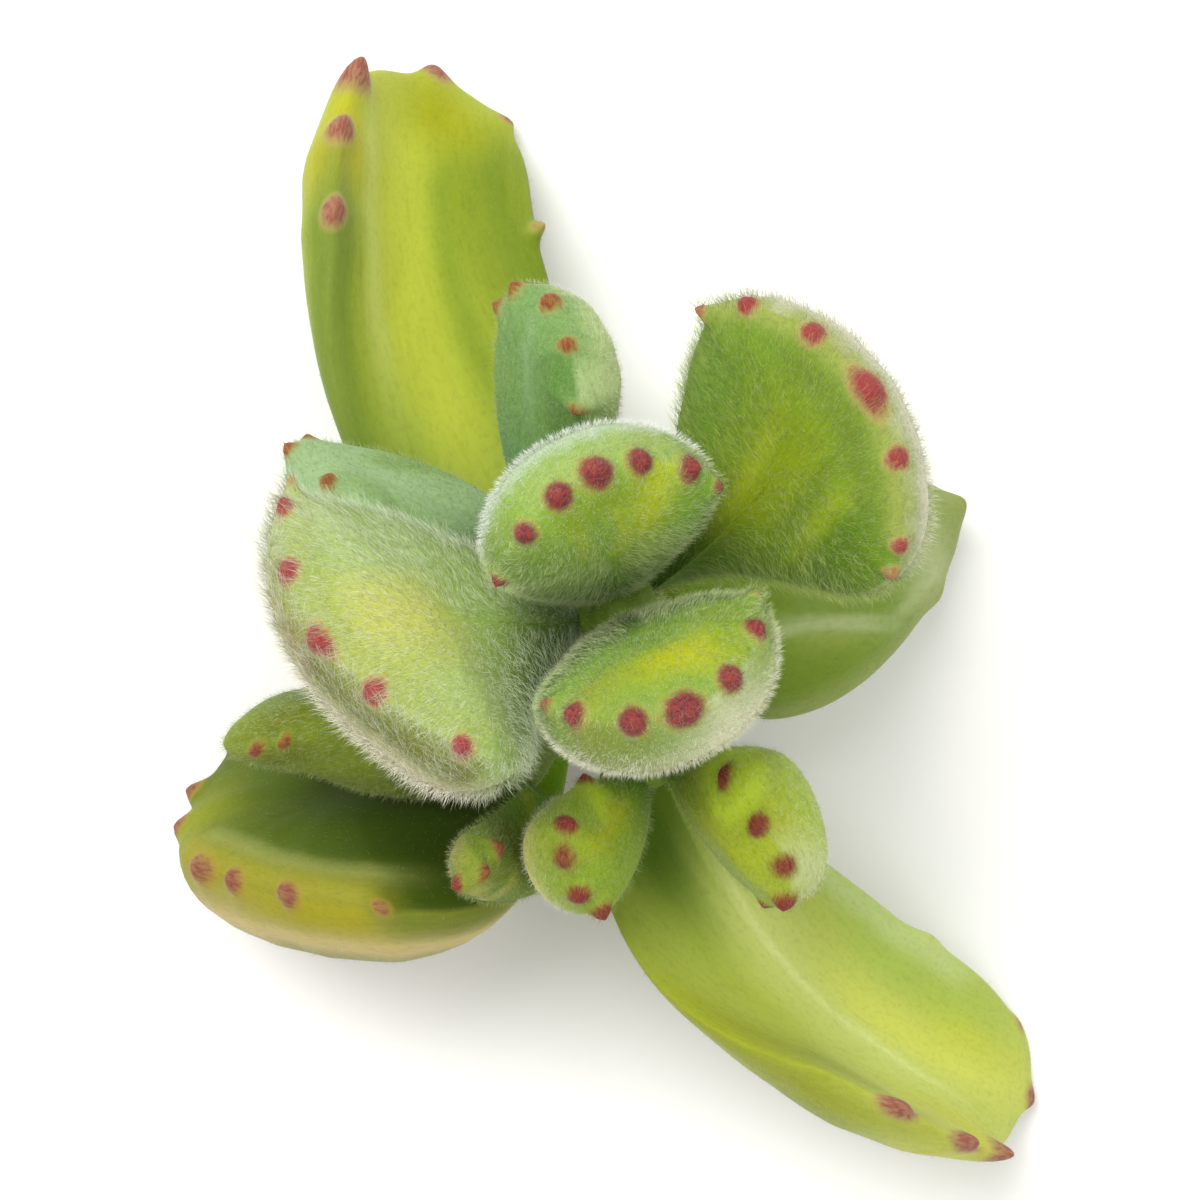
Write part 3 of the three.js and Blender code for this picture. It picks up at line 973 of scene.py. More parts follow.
    def raised(
        self,
        flat: np.ndarray,
        ring: np.ndarray,
        side: np.ndarray,
        angle: np.ndarray,
        rng: np.random.Generator,
    ) -> np.ndarray:
        """Heights over the flat leaf: the pillow, the ridges that run in from the teeth, and the unevenness.

        Args:
            flat: places on the flat leaf.
            ring: how far out each lies.
            side: 1 on the upper face and -1 on the lower one.
            angle: its angle round the rim.
            rng: the seeded source of the unevenness.
        Returns:
            The heights, in millimetres.
        """
        upper_share = self.upper_share or self.whorl.upper_share
        depth = self.thickness * np.where(side > 0, upper_share, 1 - upper_share)
        raised = side * depth * np.maximum(0, 1 - ring**PILLOW_SPREAD) ** PILLOW_BLUNTNESS
        marks, _, _, spread = self.tooth_marks()
        ridge = np.exp(-(((angle[:, None] - marks) / (RIDGE_SPREAD * spread)) ** 2)).sum(axis=1)
        raised += side * self.flute * ridge * ring**RIDGE_RISE * (1 - ring**RIDGE_END)
        uneven = ripple(flat[:, 0] / SWELL_LENGTHS[0], flat[:, 1] / SWELL_LENGTHS[1], rng)
        return raised + side * SWELL * uneven * (1 - ring**SWELL_END)

    def pushed(self, flat: np.ndarray, raised: np.ndarray) -> np.ndarray:
        """Pushes flat places out by the teeth, each a bell about its root.

        Args:
            flat: places on the flat leaf.
            raised: heights over it.
        Returns:
            The new places.
        """
        _, roots, outward, _ = self.tooth_marks()
        pushed = flat.copy()
        for root, way, tooth in zip(roots, outward, self.teeth):
            away = ((flat - root) ** 2).sum(axis=1) + (TOOTH_DEPTH * raised) ** 2
            bell = np.exp(-away / (self.whorl.tooth_radius * tooth.breadth) ** 2)
            push = self.whorl.tooth_height * tooth.lift * bell
            pushed += push[:, None] * way
        return pushed

    @staticmethod
    def ring_steps(points: np.ndarray, rows: int, columns: int) -> np.ndarray:
        """The way from the ring before each point to the ring after it.

        Args:
            points: poles first and last, rings between them.
            rows: number of rings.
            columns: points in a ring.
        Returns:
            One step a point, zero at the poles.
        """
        grid = points[1:-1].reshape(rows, columns, 3)
        poles = [np.tile(pole, (1, columns, 1)) for pole in (points[0], points[-1])]
        whole = np.concatenate([poles[0], grid, poles[1]])
        down = (whole[2:] - whole[:-2]).reshape(-1, 3)
        return np.concatenate([np.zeros((1, 3)), down, np.zeros((1, 3))])

    @staticmethod
    def normals(points: np.ndarray, rows: int, columns: int) -> np.ndarray:
        """The way out at each point: the ring step crossed with the step round it.

        Args:
            points: poles first and last, rings between them.
            rows: number of rings.
            columns: points in a ring.
        Returns:
            One direction a point; a pole takes the mean of its ring.
        """
        grid = points[1:-1].reshape(rows, columns, 3)
        down = Leaf.ring_steps(points, rows, columns)[1:-1].reshape(rows, columns, 3)
        round_ = np.roll(grid, -1, axis=1) - np.roll(grid, 1, axis=1)
        normals = unit(np.cross(down, round_))
        poles = unit(np.stack([normals[0].mean(axis=0), normals[-1].mean(axis=0)]))
        return np.concatenate([poles[:1], normals.reshape(-1, 3), poles[1:]])

    def build(self, seed: int, hair: bpy.types.Material) -> list[bpy.types.Object]:
        """Makes the leaf's flesh and its hairs.

        Args:
            seed: the seed of everything random on this leaf.
            hair: the finish of the hairs.
        Returns:
            The new pieces.
        """
        rng = np.random.default_rng(seed)
        surface = self.surface(rng)
        tint = self.colouring.tint(surface, rng)
        flesh = Shell(
            points=surface.points,
            faces=rolled_faces(surface.rows, surface.columns),
            colours={"tint": tint},
            values={"tooth": surface.tooth},
            vectors={"lamina": surface.lamina},
        ).piece(f"{self.name}_flesh", self.whorl.slot, self.finish.material())
        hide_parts(self.name)
        red = smooth(*RED_FEET, surface.tooth)[:, None]
        root_tint = tint * (1 - red) + linear(self.finish.tooth_edge) * red
        coat = Hairs(self.pelt, rng).grow(surface, root_tint).piece(f"{self.name}_hair", "hair", hair)
        let_light_through(coat)
        return [flesh, coat]


# ---- Hairs ---------------------------------------------------------------------------------------


@dataclass
class Hairs:
    """Grows hairs on a surface: three-sided spikes, each with a closed foot and its own cell of the map.

    Hairs grow from faces above OPEN_AIR, and never reach below GROUND. THINNING is the share that a tooth
    lacks, where its redness lies in BARE_ZONE, and hairs are longer where the ring lies in RIM_ZONE.
    FOOT_DEPTH is how far their feet are sunk in, WAIST how stout a bent one's middle is against its foot,
    DROOP how far its upper half sinks towards the leaf, and UPPER_STRAY how much that half strays against
    the lower one. LENGTHS and BRIGHTNESS are how much they differ from each other.

    On a tooth, where the redness lies in RED_ZONE, foot and tip lose the shares of pale colour in RED_LOSS.
    EDGE_FADE is where the edge's colour starts and ends giving way, from the pelt's ring. SIDE_MAP, TIP_MAP
    and CELL_MAP are where the sides and tips lie in a cell of the map, and the cell's scale and margin.
    """

    pelt: Pelt
    rng: np.random.Generator

    BENT_FACES = (
        np.array([[0, 1, 4, 3], [1, 2, 5, 4], [2, 0, 3, 5]]),
        np.array([[0, 2, 1], [3, 4, 6], [4, 5, 6], [5, 3, 6]]),
    )
    STRAIGHT_FACES = (np.array([[0, 2, 1], [0, 1, 3], [1, 2, 3], [2, 0, 3]]),)
    OPEN_AIR = 0.05
    GROUND = 0.01
    THINNING = 0.5
    BARE_ZONE = (0.3, 0.6)
    RIM_ZONE = (0.75, 1.0)
    FOOT_DEPTH = 0.03
    WAIST = 0.72
    DROOP = 0.2
    UPPER_STRAY = 0.7
    LENGTHS = (0.7, 1.2)
    BRIGHTNESS = (0.85, 1.08)
    RED_ZONE = (0.25, 0.55)
    RED_LOSS = (0.7, 0.55)
    EDGE_FADE = (-0.08, 0.06)
    FOOT_MAP = ((0.0, 0.0), (0.5, 0.06), (1.0, 0.0))
    SIDE_MAP = (0.1, 0.55)
    TIP_MAP = 0.58
    CELL_MAP = (0.86, 0.07)

    def roots(self, surface: LeafSurface) -> tuple[np.ndarray, np.ndarray]:
        """Chooses where the hairs grow: evenly over the area, fewer on the teeth and none on the ground.

        Args:
            surface: what they grow on.
        Returns:
            For each hair, the four corners of its face and how much each of them counts at its root.
        """
        index = (1 + np.arange(surface.rows * surface.columns)).reshape(surface.rows, surface.columns)
        after = np.roll(index, -1, axis=1)
        corners = np.stack([index[:-1], index[1:], after[1:], after[:-1]], axis=-1).reshape(-1, 4)
        spots = surface.points[corners]
        area = np.linalg.norm(np.cross(spots[:, 2] - spots[:, 0], spots[:, 3] - spots[:, 1]), axis=1) / 2
        open_air = spots[:, :, 2].min(axis=1) > self.OPEN_AIR
        bare = smooth(*self.BARE_ZONE, surface.tooth[corners].mean(axis=1))
        weight = area * open_air * (1 - self.THINNING * bare)
        count = int(round(weight.sum() * self.pelt.density))
        chosen = self.rng.choice(len(corners), size=count, p=weight / weight.sum())
        down, over = self.rng.uniform(0, 1, (2, count, 1))
        shares = [(1 - down) * (1 - over), down * (1 - over), down * over, (1 - down) * over]
        return corners[chosen], np.concatenate(shares, axis=1)

    def grow(self, surface: LeafSurface, tint: np.ndarray) -> Shell:
        """Plants the hairs and shapes and colours each one.

        Args:
            surface: what they grow on.
            tint: the colour at each of its points.
        Returns:
            The hairs as one mesh.
        """
        corners, shares = self.roots(surface)

        def between(values: np.ndarray) -> np.ndarray:
            """The value at each hair's root."""
            return np.einsum("ij,ij...->i...", shares, values[corners])

        ring = between(surface.ring)
        under = (between(surface.side) < 0).astype(float)
        near_rim = smooth(*self.RIM_ZONE, ring)
        longer = 1 + self.pelt.rim_length * near_rim + self.pelt.under_length * under
        directions = unit(between(surface.normals)), unit(between(surface.towards_end))
        points = self.spikes(between(surface.points), *directions, longer)
        shades = self.shades(between(tint), between(surface.tooth), ring, under)
        patterns = self.BENT_FACES if self.pelt.bent else self.STRAIGHT_FACES
        count, each = points.shape[:2]
        offsets = (np.arange(count) * each)[:, None, None]
        return Shell(
            points=points.reshape(-1, 3),
            faces=[(pattern + offsets).reshape(-1, pattern.shape[1]) for pattern in patterns],
            colours={"shade": np.clip(shades.reshape(-1, 3), 0, 1)},
            corner_map=self.corner_map(count),
        )

    def spikes(
        self,
        root: np.ndarray,
        normal: np.ndarray,
        towards: np.ndarray,
        longer: np.ndarray,
    ) -> np.ndarray:
        """Shapes the hairs: three points at the foot, three at the waist of a bent one, and one at the tip.

        Args:
            root: where each hair grows.
            normal: the way out of the leaf there.
            towards: the way to the leaf's end along it.
            longer: how much longer than usual each is.
        Returns:
            The points, hair by hair.
        """
        pelt, count = self.pelt, len(root)
        stray = self.rng.normal(0, pelt.scatter, (2, count, 3))
        first = unit(normal * (1 - pelt.lean) + towards * pelt.lean + stray[0])
        bend = pelt.curl * (towards - self.DROOP * normal)
        second = unit(first + bend + self.UPPER_STRAY * stray[1])
        length = pelt.length * self.rng.uniform(*self.LENGTHS, count) * longer
        half = (length / 2)[:, None]
        middle = root + first * half
        tip = middle + second * half
        sideways = unit(np.cross(first, self.rng.normal(0, 1, (count, 3))))
        crosswise = np.cross(first, sideways)
        turns = (2 * np.pi * np.arange(3) / 3)[None, :, None]
        ring = sideways[:, None] * np.cos(turns) + crosswise[:, None] * np.sin(turns)
        foot = (root - self.FOOT_DEPTH * normal)[:, None] + pelt.radius * ring
        waist = middle[:, None] + self.WAIST * pelt.radius * ring
        levels = [foot, waist, tip[:, None]] if pelt.bent else [foot, tip[:, None]]
        points = np.concatenate(levels, axis=1)
        points[..., 2] = np.maximum(points[..., 2], self.GROUND)
        return points

    def shades(self, tint: np.ndarray, tooth: np.ndarray, ring: np.ndarray, under: np.ndarray) -> np.ndarray:
        """Colours the hairs from the flesh's colour at the foot to a pale one at the tip, less so on teeth.

        Args:
            tint: the flesh's colour at each root.
            tooth: how red the flesh is there.
            ring: how far out the root lies.
            under: 1 on the lower face, else 0.
        Returns:
            Linear colours of each hair's points.
        """
        pelt = self.pelt
        start, end = self.EDGE_FADE
        inwards = 1 - smooth(pelt.edge_ring + start, pelt.edge_ring + end, ring)
        outer = (under * inwards)[:, None]
        pale = linear(pelt.tip) * (1 - outer) + linear(pelt.edge) * outer
        red = smooth(*self.RED_ZONE, tooth)[:, None]
        foot_loss, tip_loss = self.RED_LOSS
        root_share = (pelt.root_share + pelt.edge_share * outer) * (1 - foot_loss * red)
        tip_share = pelt.tip_share + pelt.edge_share * outer * (1 - pelt.tip_share)
        tip_share = tip_share * (1 - tip_loss * red)
        foot = tint * (1 - root_share) + pale * root_share
        pale = pale * self.rng.uniform(*self.BRIGHTNESS, (len(tint), 1))
        tip = foot * (1 - tip_share) + pale * tip_share
        levels = [foot] * 3 + [(foot + tip) / 2] * (3 if pelt.bent else 0) + [tip]
        return np.stack(levels, axis=1)

    def corner_map(self, count: int) -> np.ndarray:
        """Gives each hair its own cell of the map: its sides stand side by side and its foot lies under them.

        Args:
            count: how many hairs.
        Returns:
            Map places, one row a face corner, in the order of the faces.
        """
        grid = int(np.ceil(np.sqrt(count)))
        cells = np.stack([np.arange(count) % grid, np.arange(count) // grid], axis=1)
        thirds = [(side / 3, (side + 1) / 3) for side in range(3)]
        low, high = self.SIDE_MAP
        sides = [[(left, low), (right, low), (right, high), (left, high)] for left, right in thirds]
        start = self.TIP_MAP if self.pelt.bent else low
        tips = [[(left, start), (right, start), ((left + right) / 2, 1.0)] for left, right in thirds]
        ends = [list(self.FOOT_MAP), *tips]
        scale, margin = self.CELL_MAP
        parts = []
        for group in [sides, ends] if self.pelt.bent else [ends]:
            pattern = np.array(group).reshape(1, -1, 2) * scale + margin
            parts.append(((cells[:, None] + pattern) / grid).reshape(-1, 2))
        return np.concatenate(parts)


def let_light_through(coat: bpy.types.Object) -> None:
    """Lets hairs cast no shadow on each other or on the flesh, as clear hairs hardly do."""
    coat.visible_shadow = False
    coat.visible_diffuse = False


# ---- The plant's leaves --------------------------------------------------------------------------

CROWN_PELT = Pelt(
    density=16.0, length=0.95, radius=0.016, scatter=0.15, curl=0.35, rim_length=0.1,
    tip="#e2ecb0", edge="#fafbf4", tip_share=0.72, edge_share=0.6, edge_ring=0.9,
)
CREAM_PELT = replace(CROWN_PELT, edge="#f8f4dc")
LONG_PELT = Pelt(
    density=11.5, length=1.4, radius=0.018, lean=0.6, scatter=0.2, under_length=0.4,
    tip="#e6ecd0", edge="#fbf5e4", edge_share=0.5, edge_ring=0.8,
)
OLIVE_PELT = replace(
    LONG_PELT, density=9.5, radius=0.015, under_length=0.15,
    tip="#c4d068", edge="#f0eeda", tip_share=0.8, root_share=0.15, edge_ring=0.95,
)
YOUNG_PELT = Pelt(density=11.0, length=0.6, radius=0.015, curl=0.0, tip="#b8c878", edge_ring=0.95, bent=False)
DUSK_PELT = replace(YOUNG_PELT, edge="#c8d090")
THIN_PELT = Pelt(
    density=2.0, length=0.4, radius=0.012, lean=0.5, curl=0.0,
    tip="#c4cc80", edge="#d8dcb0", tip_share=0.4, bent=False,
)

CROWN_FLESH = FleshFinish("crown_flesh", "#642430", "#8a3830", "#a6a850", fuzz=0.12)
SECOND_FLESH = FleshFinish("second_flesh", "#8a4240", "#8f3030", "#b0a060")
OLIVE_FLESH = replace(SECOND_FLESH, name="olive_flesh", fuzz=0.12)
THIRD_FLESH = FleshFinish(
    "third_flesh", "#987055", "#884a3c", "#a69c54",
    fuzz=0.0, streaks=0.15, mottling=0.15, raggedness=0.45, relief=0.15,
)
FOURTH_FLESH = replace(
    THIRD_FLESH, name="fourth_flesh", tooth_edge="#8b663a", tooth_heart="#7a3e38", tooth_halo="#a08c34",
)
PLAIN_FLESH = replace(
    THIRD_FLESH, name="plain_flesh", tooth_edge="#8b8648", tooth_heart="#80563a", tooth_halo="#8c9a48",
)
YOUNG_FLESH = FleshFinish("young_flesh", "#7a3c22", "#6d2521", "#8c9430", fuzz=0.2)
MINT_FLESH = FleshFinish("mint_flesh", "#88642f", "#7e3c21", "#98a05c", fuzz=0.2)

LEAVES = (
    Leaf(
        "crown_leaf_back", CROWN, azimuth=103, turn=8, rise=(54, 83), roll=10, length=22.2, width=18.0,
        thickness=9.0, fold=35, widest=0.67, apex_power=0.9, skew=2.7, base_power=(1.6, 0.8),
        teeth=toothed((-79, 0.8, 0.9, 0.5), (-53, 0.95), (-24, 0.95), (-4, 1.15, 1.1, 1.25),
                      (13, 1.0, 1.0, 1.05), (37, 0.9, 1.0, 0.85), (88, 0.75, 0.7, 0.7)),
        colouring=Colouring("#5a8014", "#7c9c36", "#a6ba94", (
            Band("#b0ba00", (-0.4, -0.66), 0.3, (0.7, 0.93), 0.97, 0.07, Face.UPPER),
            Band("#90a01c", (-0.3, -0.45), 0.26, (0.4, 0.85), 0.6),
            Band("#a6b018", (-0.05, -0.12), 0.09, (0.6, 0.95), 0.6, 0.08, Face.UPPER),
            Band("#a0ac20", (0.32, 0.28), 0.08, (0.68, 0.95), 0.5, 0.08, Face.UPPER),
            Band("#68901c", (-0.85, -1.0), 0.3, (0.2, 0.8), 0.8),
            Band("#6f8a38", (0.95, 0.95), 0.25, (0.75, 1.0), 0.7),
            Collar("#789012", 0.87, 0.1, (-20, 25), 0.8, Face.UPPER),
            Collar("#9eb06c", 0.93, 0.08, (-80, 20), 0.5, Face.LOWER),
        )),
        pelt=CROWN_PELT, finish=CROWN_FLESH,
    ),
    Leaf(
        "crown_leaf_front", CROWN, azimuth=301, turn=-5, rise=(66, 82), roll=-7, length=22.3, width=18.6,
        thickness=9.8, fold=41, widest=0.59, apex_power=0.87, skew=-1.0, base_power=(0.8, 1.7),
        teeth=toothed((-68, 0.75, 0.85, 0.55, 0, 0.8), (-47, 0.95, 1.0, 0.95), (-17, 1.05, 1.0, 1.1),
                      (2, 1.2, 1.0, 1.3, 0.2), (25, 1.0, 0.95, 1.0), (58, 0.9, 0.75, 0.9),
                      (90, 0.8, 0.8, 0.5, 0, 0.6)),
        colouring=Colouring("#456210", "#769636", "#a2ae78", (
            Band("#a4aa02", (0.1, 0.1), 0.52, (0.78, 0.93), 0.95, 0.07, Face.UPPER),
            Band("#aeb008", (0.5, 0.5), 0.28, (0.74, 0.91), 0.7, 0.07, Face.UPPER),
            Band("#7a941c", (0.82, 0.8), 0.28, (0.6, 0.92), 0.8, 0.08),
            Band("#868f24", (-0.7, -0.7), 0.3, (0.8, 1.0), 0.7, 0.08),
            Band("#74832c", (-0.55, -0.55), 0.45, (0.6, 1.1), 0.7, 0.1, Face.LOWER),
            Band("#ccccaa", (0.3, 0.3), 0.35, (0.6, 1.0), 0.8, 0.1, Face.LOWER),
        ), turn=(0.3, 0.72)),
        pelt=CREAM_PELT, finish=CROWN_FLESH,
    ),
    Leaf(
        "second_leaf_right", SECOND, azimuth=32, turn=40, rise=(26, 60), roll=-34, length=32.0, width=25.0,
        thickness=9.0, fold=35, widest=0.79, apex_power=1.05, skew=2.5, base_power=(5.4, 1.9),
        teeth=toothed((-82, 0.8, 0.8, 0.55, 0, 0.7), (-66, 0.8, 0.6, 0.55), (-31, 1.0, 0.5, 0.8),
                      (-6, 1.2, 0.8, 1.05, 1.1), (23, 1.0, 0.6, 0.85), (53, 0.9, 0.9, 0.8),
                      (85, 0.8, 0.9, 0.55, 0, 0.8)),
        colouring=Colouring("#43640e", "#688820", "#b2b492", (
            Band("#869600", (0.05, -0.02), 0.3, (0.4, 0.85), 0.9),
            Band("#7c920c", (0.0, 0.1), 0.55, (0.6, 0.95), 0.6),
            Band("#4f7008", (-0.7, -0.8), 0.3, (0.25, 0.85), 0.8),
            Band("#678f2c", (0.85, 0.85), 0.25, (0.5, 0.85), 0.6),
            Band("#94a60c", (-0.5, -0.5), 0.1, (0.5, 0.85), 0.7),
            Band("#a4b010", (0.05, 0.25), 0.07, (0.35, 0.8), 0.6),
            Band("#567418", (-0.25, -0.3), 0.07, (0.5, 0.95), 0.5),
            Collar("#5c7220", 0.82, 0.12, (-60, 30), 0.6, Face.UPPER),
            Collar("#969e4c", 1.0, 0.05, (-60, 75), 0.7),
            Collar("#657e24", 1.0, 0.08, (82, 115), 0.5),
            Collar("#ccc6b0", 0.84, 0.08, (-60, 90), 0.6, Face.LOWER),
        ), wrap=0.95),
        pelt=OLIVE_PELT, finish=OLIVE_FLESH,
    ),
    Leaf(
        "second_leaf_left", SECOND, azimuth=201, turn=-45, rise=(38, 43), roll=64, length=27.4, width=27.1,
        thickness=11.0, fold=31, widest=0.84, apex_power=1.32, skew=-5.4, core=0.66, base_power=(1.9, 4.2),
        teeth=toothed((-81, 0.8, 1.2, 0.55, 0, 0.7), (-61, 0.9, 1.1, 0.85), (-33, 1.0, 0.7, 0.95),
                      (1, 1.1, 1.1, 0.85, 2.0, 0.85), (29, 1.0, 0.5, 0.9), (65, 0.9, 0.6, 0.75)),
        colouring=Colouring("#5c7a30", "#86a04c", "#aca678", (
            Band("#b4b454", (0.05, -0.05), 0.45, (0.66, 1.02), 0.9),
            Band("#98aa68", (0.72, 0.62), 0.28, (0.5, 0.85), 0.7, 0.2),
            Band("#98ac74", (-0.7, -0.55), 0.25, (0.6, 1.0), 0.6),
            Band("#c4ccae", (-0.9, -0.9), 0.2, (0.95, 1.1), 0.7),
            Collar("#8c9a40", 0.97, 0.12, (-90, 75), 0.6),
            Collar("#5c6010", 0.92, 0.1, (-5, 78), 0.9, Face.LOWER),
            Collar("#7e5834", 0.9, 0.07, (-24, -4), 0.7, Face.LOWER),
        ), wrap=0.88),
        pelt=LONG_PELT, finish=SECOND_FLESH,
    ),
    Leaf(
        "third_leaf_back", THIRD, azimuth=133, turn=-57, rise=(-6, -25), roll=49, length=50.1, width=24.2,
        thickness=7.2, fold=74, widest=0.71, apex_power=0.71, skew=-6.0, base_power=(1.1, 0.4),
        teeth=toothed((-99, 1.0, 0.9, 0.7, 0, 0.5), (-48, 1.7, 0.6, 0.9, 0, 0.75),
                      (-10, 1.7, 0.95, 1.3, -0.3, 0.95), (31, 1.9, 1.5, 1.6), (55, 1.3, 0.6, 1.15),
                      (86, 1.2, 0.65, 1.0)),
        colouring=Colouring("#849a40", "#a2ac34", "#7f9148", (
            Band("#748a20", (-0.15, -0.42), 0.24, (0.25, 0.85), 0.85),
            Band("#808e1c", (-0.6, -0.6), 0.15, (0.5, 0.9), 0.6),
            Band("#647a18", (-0.88, -0.86), 0.3, (0.3, 0.92), 0.9),
            Band("#b0b83c", (0.2, 0.15), 0.28, (0.25, 0.95), 0.85),
            Band("#b4bc60", (0.62, 0.55), 0.12, (0.45, 0.88), 0.8),
            Band("#8a9c42", (0.66, 0.66), 0.15, (0.2, 0.42), 0.6),
            Band("#6c8424", (0.92, 0.95), 0.2, (0.2, 0.72), 0.85),
            Band("#969a00", (-0.35, -0.2), 0.4, (0.85, 1.02), 0.95, 0.07),
            Band("#b0a818", (0.9, 0.88), 0.15, (0.72, 0.88), 0.9, 0.05),
            Collar("#6c7c34", 1.0, 0.1, (60, 150), 0.6),
        ), wrap=0.7),
        pelt=THIN_PELT, finish=THIRD_FLESH,
    ),
    Leaf(
        "third_leaf_front", THIRD, azimuth=281, turn=68, rise=(-6, -16.7), roll=-66, length=56.3, width=27.6,
        thickness=5.4, fold=90, widest=0.72, apex_power=0.54, skew=8.4, base_power=(2.7, 3.4),
        teeth=toothed((-63, 1.3, 0.5, 0.95, 1.0), (-27, 1.4, 0.7, 0.9, 1.6), (-9, 1.7, 1.25, 1.4, 0, 0.9),
                      (9, 1.4, 0.55, 1.0), (42, 2.2, 0.15, 0.9, 0, 0.5), (96, 2.4, 0.35, 0.5, 0, 0.2)),
        colouring=Colouring("#6f8a20", "#b0ba58", "#848f3c", (
            # painted shade: dark green near the base, beside the stem
            Band("#3e5c00", (-0.2, -0.3), 0.25, (0.15, 0.4), 0.9),
            Band("#98a830", (-0.45, -0.5), 0.2, (0.4, 0.62), 0.7),
            Band("#bcc670", (0.2, -0.05), 0.24, (0.35, 0.85), 0.85),
            Band("#8a921c", (-0.95, -0.8), 0.25, (0.35, 0.75), 0.9),
            Band("#b6b83c", (-0.45, -0.35), 0.25, (0.8, 1.0), 0.8),
            Band("#c2c658", (0.35, 0.35), 0.2, (0.62, 1.0), 0.85),
            Band("#9ab04c", (0.75, 0.85), 0.22, (0.5, 1.0), 0.8),
            Band("#a0a030", (-0.95, -0.9), 0.2, (0.75, 1.0), 0.7),
            Band("#b4ba34", (0.6, 0.6), 0.2, (0.8, 1.0), 0.6),
            Band("#d0d68c", (0.12, 0.0), 0.04, (0.38, 0.85), 0.6),
            Collar("#b4c484", 0.96, 0.07, (88, 122), 0.7),
        ), wrap=0.7, turn=(0.1, 0.62)),
        pelt=THIN_PELT, finish=THIRD_FLESH, upper_share=0.65,
    ),
    Leaf(
        "fourth_leaf_left", FOURTH, azimuth=232, turn=-61, rise=(-2, 17), roll=78, length=40.6, width=31.0,
        thickness=13.0, fold=32, widest=0.67, apex_power=1.58, skew=-3.8, base_power=(1.8, 4.2),
        teeth=toothed((-71, 0.9, 0.6, 0.6, 0, 0.3), (-51, 1.1, 1.1, 0.9), (-34, 1.2, 0.6, 1.0),
                      (18, 1.2, 0.85, 1.1, 0.4, 0.8), (32, 1.0, 0.75, 0.95, 0, 0.9), (50, 1.0, 0.7, 0.95),
                      (79, 0.9, 0.7, 0.6, 0, 0.8)),
        # dark base and end colours: the leaf's deep green, with the shade of its cupped hollow painted in
        colouring=Colouring("#324604", "#4c5e04", "#9c9058", (
            # painted light: a bright lime patch near the base, lifting the shade of the gap between the
            # leaves
            Band("#90c008", (0.4, 0.4), 0.35, (0.1, 0.33), 0.95),
            # painted shade: a darker green across the middle of the cupped leaf
            Band("#2f4202", (0.4, 0.45), 0.4, (0.3, 0.7), 0.8),
            Band("#9aa004", (-0.35, -0.35), 0.3, (0.92, 1.03), 0.9),
            # painted highlight: a pale line along the rounded ridge inside the rim of the upper face
            Collar("#828a48", 0.87, 0.06, (0, 85), 0.85, Face.UPPER),
            Collar("#94902c", 0.98, 0.08, (-10, 75), 0.85),
            Collar("#c8b478", 0.86, 0.09, (10, 115), 0.9, Face.LOWER),
            Collar("#968f14", 0.97, 0.06, (42, 72), 0.85, Face.LOWER),
            Collar("#707a22", 0.98, 0.07, (84, 115), 0.85, Face.LOWER),
            Collar("#76803c", 0.66, 0.1, (40, 120), 0.7, Face.LOWER),
            Collar("#ac9c6c", 0.5, 0.12, (0, 120), 0.5, Face.LOWER),
        ), wrap=0.85, turn=(0.45, 0.95)),
        pelt=THIN_PELT, finish=FOURTH_FLESH,
    ),
    Leaf(
        "fourth_leaf_right", FOURTH, azimuth=9, turn=-10, rise=(-4, -21), roll=-8, length=25.4, width=21.2,
        thickness=9.0, fold=34, widest=0.44, apex_power=0.86, skew=6.2, base_power=(1.1, 1.5),
        teeth=toothed((-4, 1.6, 0.4, 0.8, 0, 0.4), (32, 1.4, 0.8, 0.8, 0, 0.4), (64, 1.4, 1.0, 0.8, 0, 0.45)),
        colouring=Colouring("#607c14", "#728a2a", "#7c8a48", (
            Band("#8ea044", (-0.5, -0.5), 0.16, (0.4, 0.68), 0.85),
            Band("#8fa464", (0.15, 0.2), 0.4, (0.45, 0.95), 0.5),
            Band("#b8bc90", (0.2, 0.1), 0.5, (0.88, 1.0), 0.85),
            Band("#b4c08c", (-0.36, -0.42), 0.07, (0.3, 0.76), 0.7, 0.08, Face.UPPER),
            Band("#b4c08c", (-0.38, 0.15), 0.1, (0.78, 1.0), 0.5, 0.06, Face.UPPER),
            Collar("#949c64", 1.0, 0.08, (-100, 100), 0.6),
        )),
        pelt=THIN_PELT, finish=PLAIN_FLESH,
    ),
    Leaf(
        "back_shoot_leaf_right", YOUNG, azimuth=68, turn=30, rise=(29, 50), roll=-72, length=18.9, width=11.7,
        thickness=6.6, fold=38, widest=0.75, apex_power=0.88, skew=0.9, base_power=(0.6, 1.7), shoot="back",
        teeth=toothed((76, 0.8, 1.0, 0.6, -0.5), (50, 0.8, 1.0, 0.65, -0.5), (7, 1.0, 1.0, 0.75, -0.7),
                      (-26, 1.0, 0.9, 0.6), (-83, 1.0, 0.9, 0.6, 0, 0.75)),
        colouring=Colouring("#64895a", "#6e9250", "#a0b274", (
            Band("#547e2e", (-0.7, -0.7), 0.35, (0.4, 0.95), 0.8, 0.12, Face.UPPER),
            Band("#8cac7c", (0.1, 0.1), 0.15, (0.5, 0.95), 0.5),
            Band("#b6c48c", (-0.95, -0.95), 0.35, (0.2, 1.0), 0.6, 0.15, Face.LOWER),
        ), wrap=0.9),
        pelt=YOUNG_PELT, finish=MINT_FLESH, flute=0.7,
    ),
    Leaf(
        "back_shoot_leaf_left", YOUNG, azimuth=181, turn=-35, rise=(2, 15), roll=87, length=16.5, width=9.9,
        thickness=6.0, fold=55, widest=0.75, apex_power=0.86, skew=-2.9, base_power=(1.5, 1.4), shoot="back",
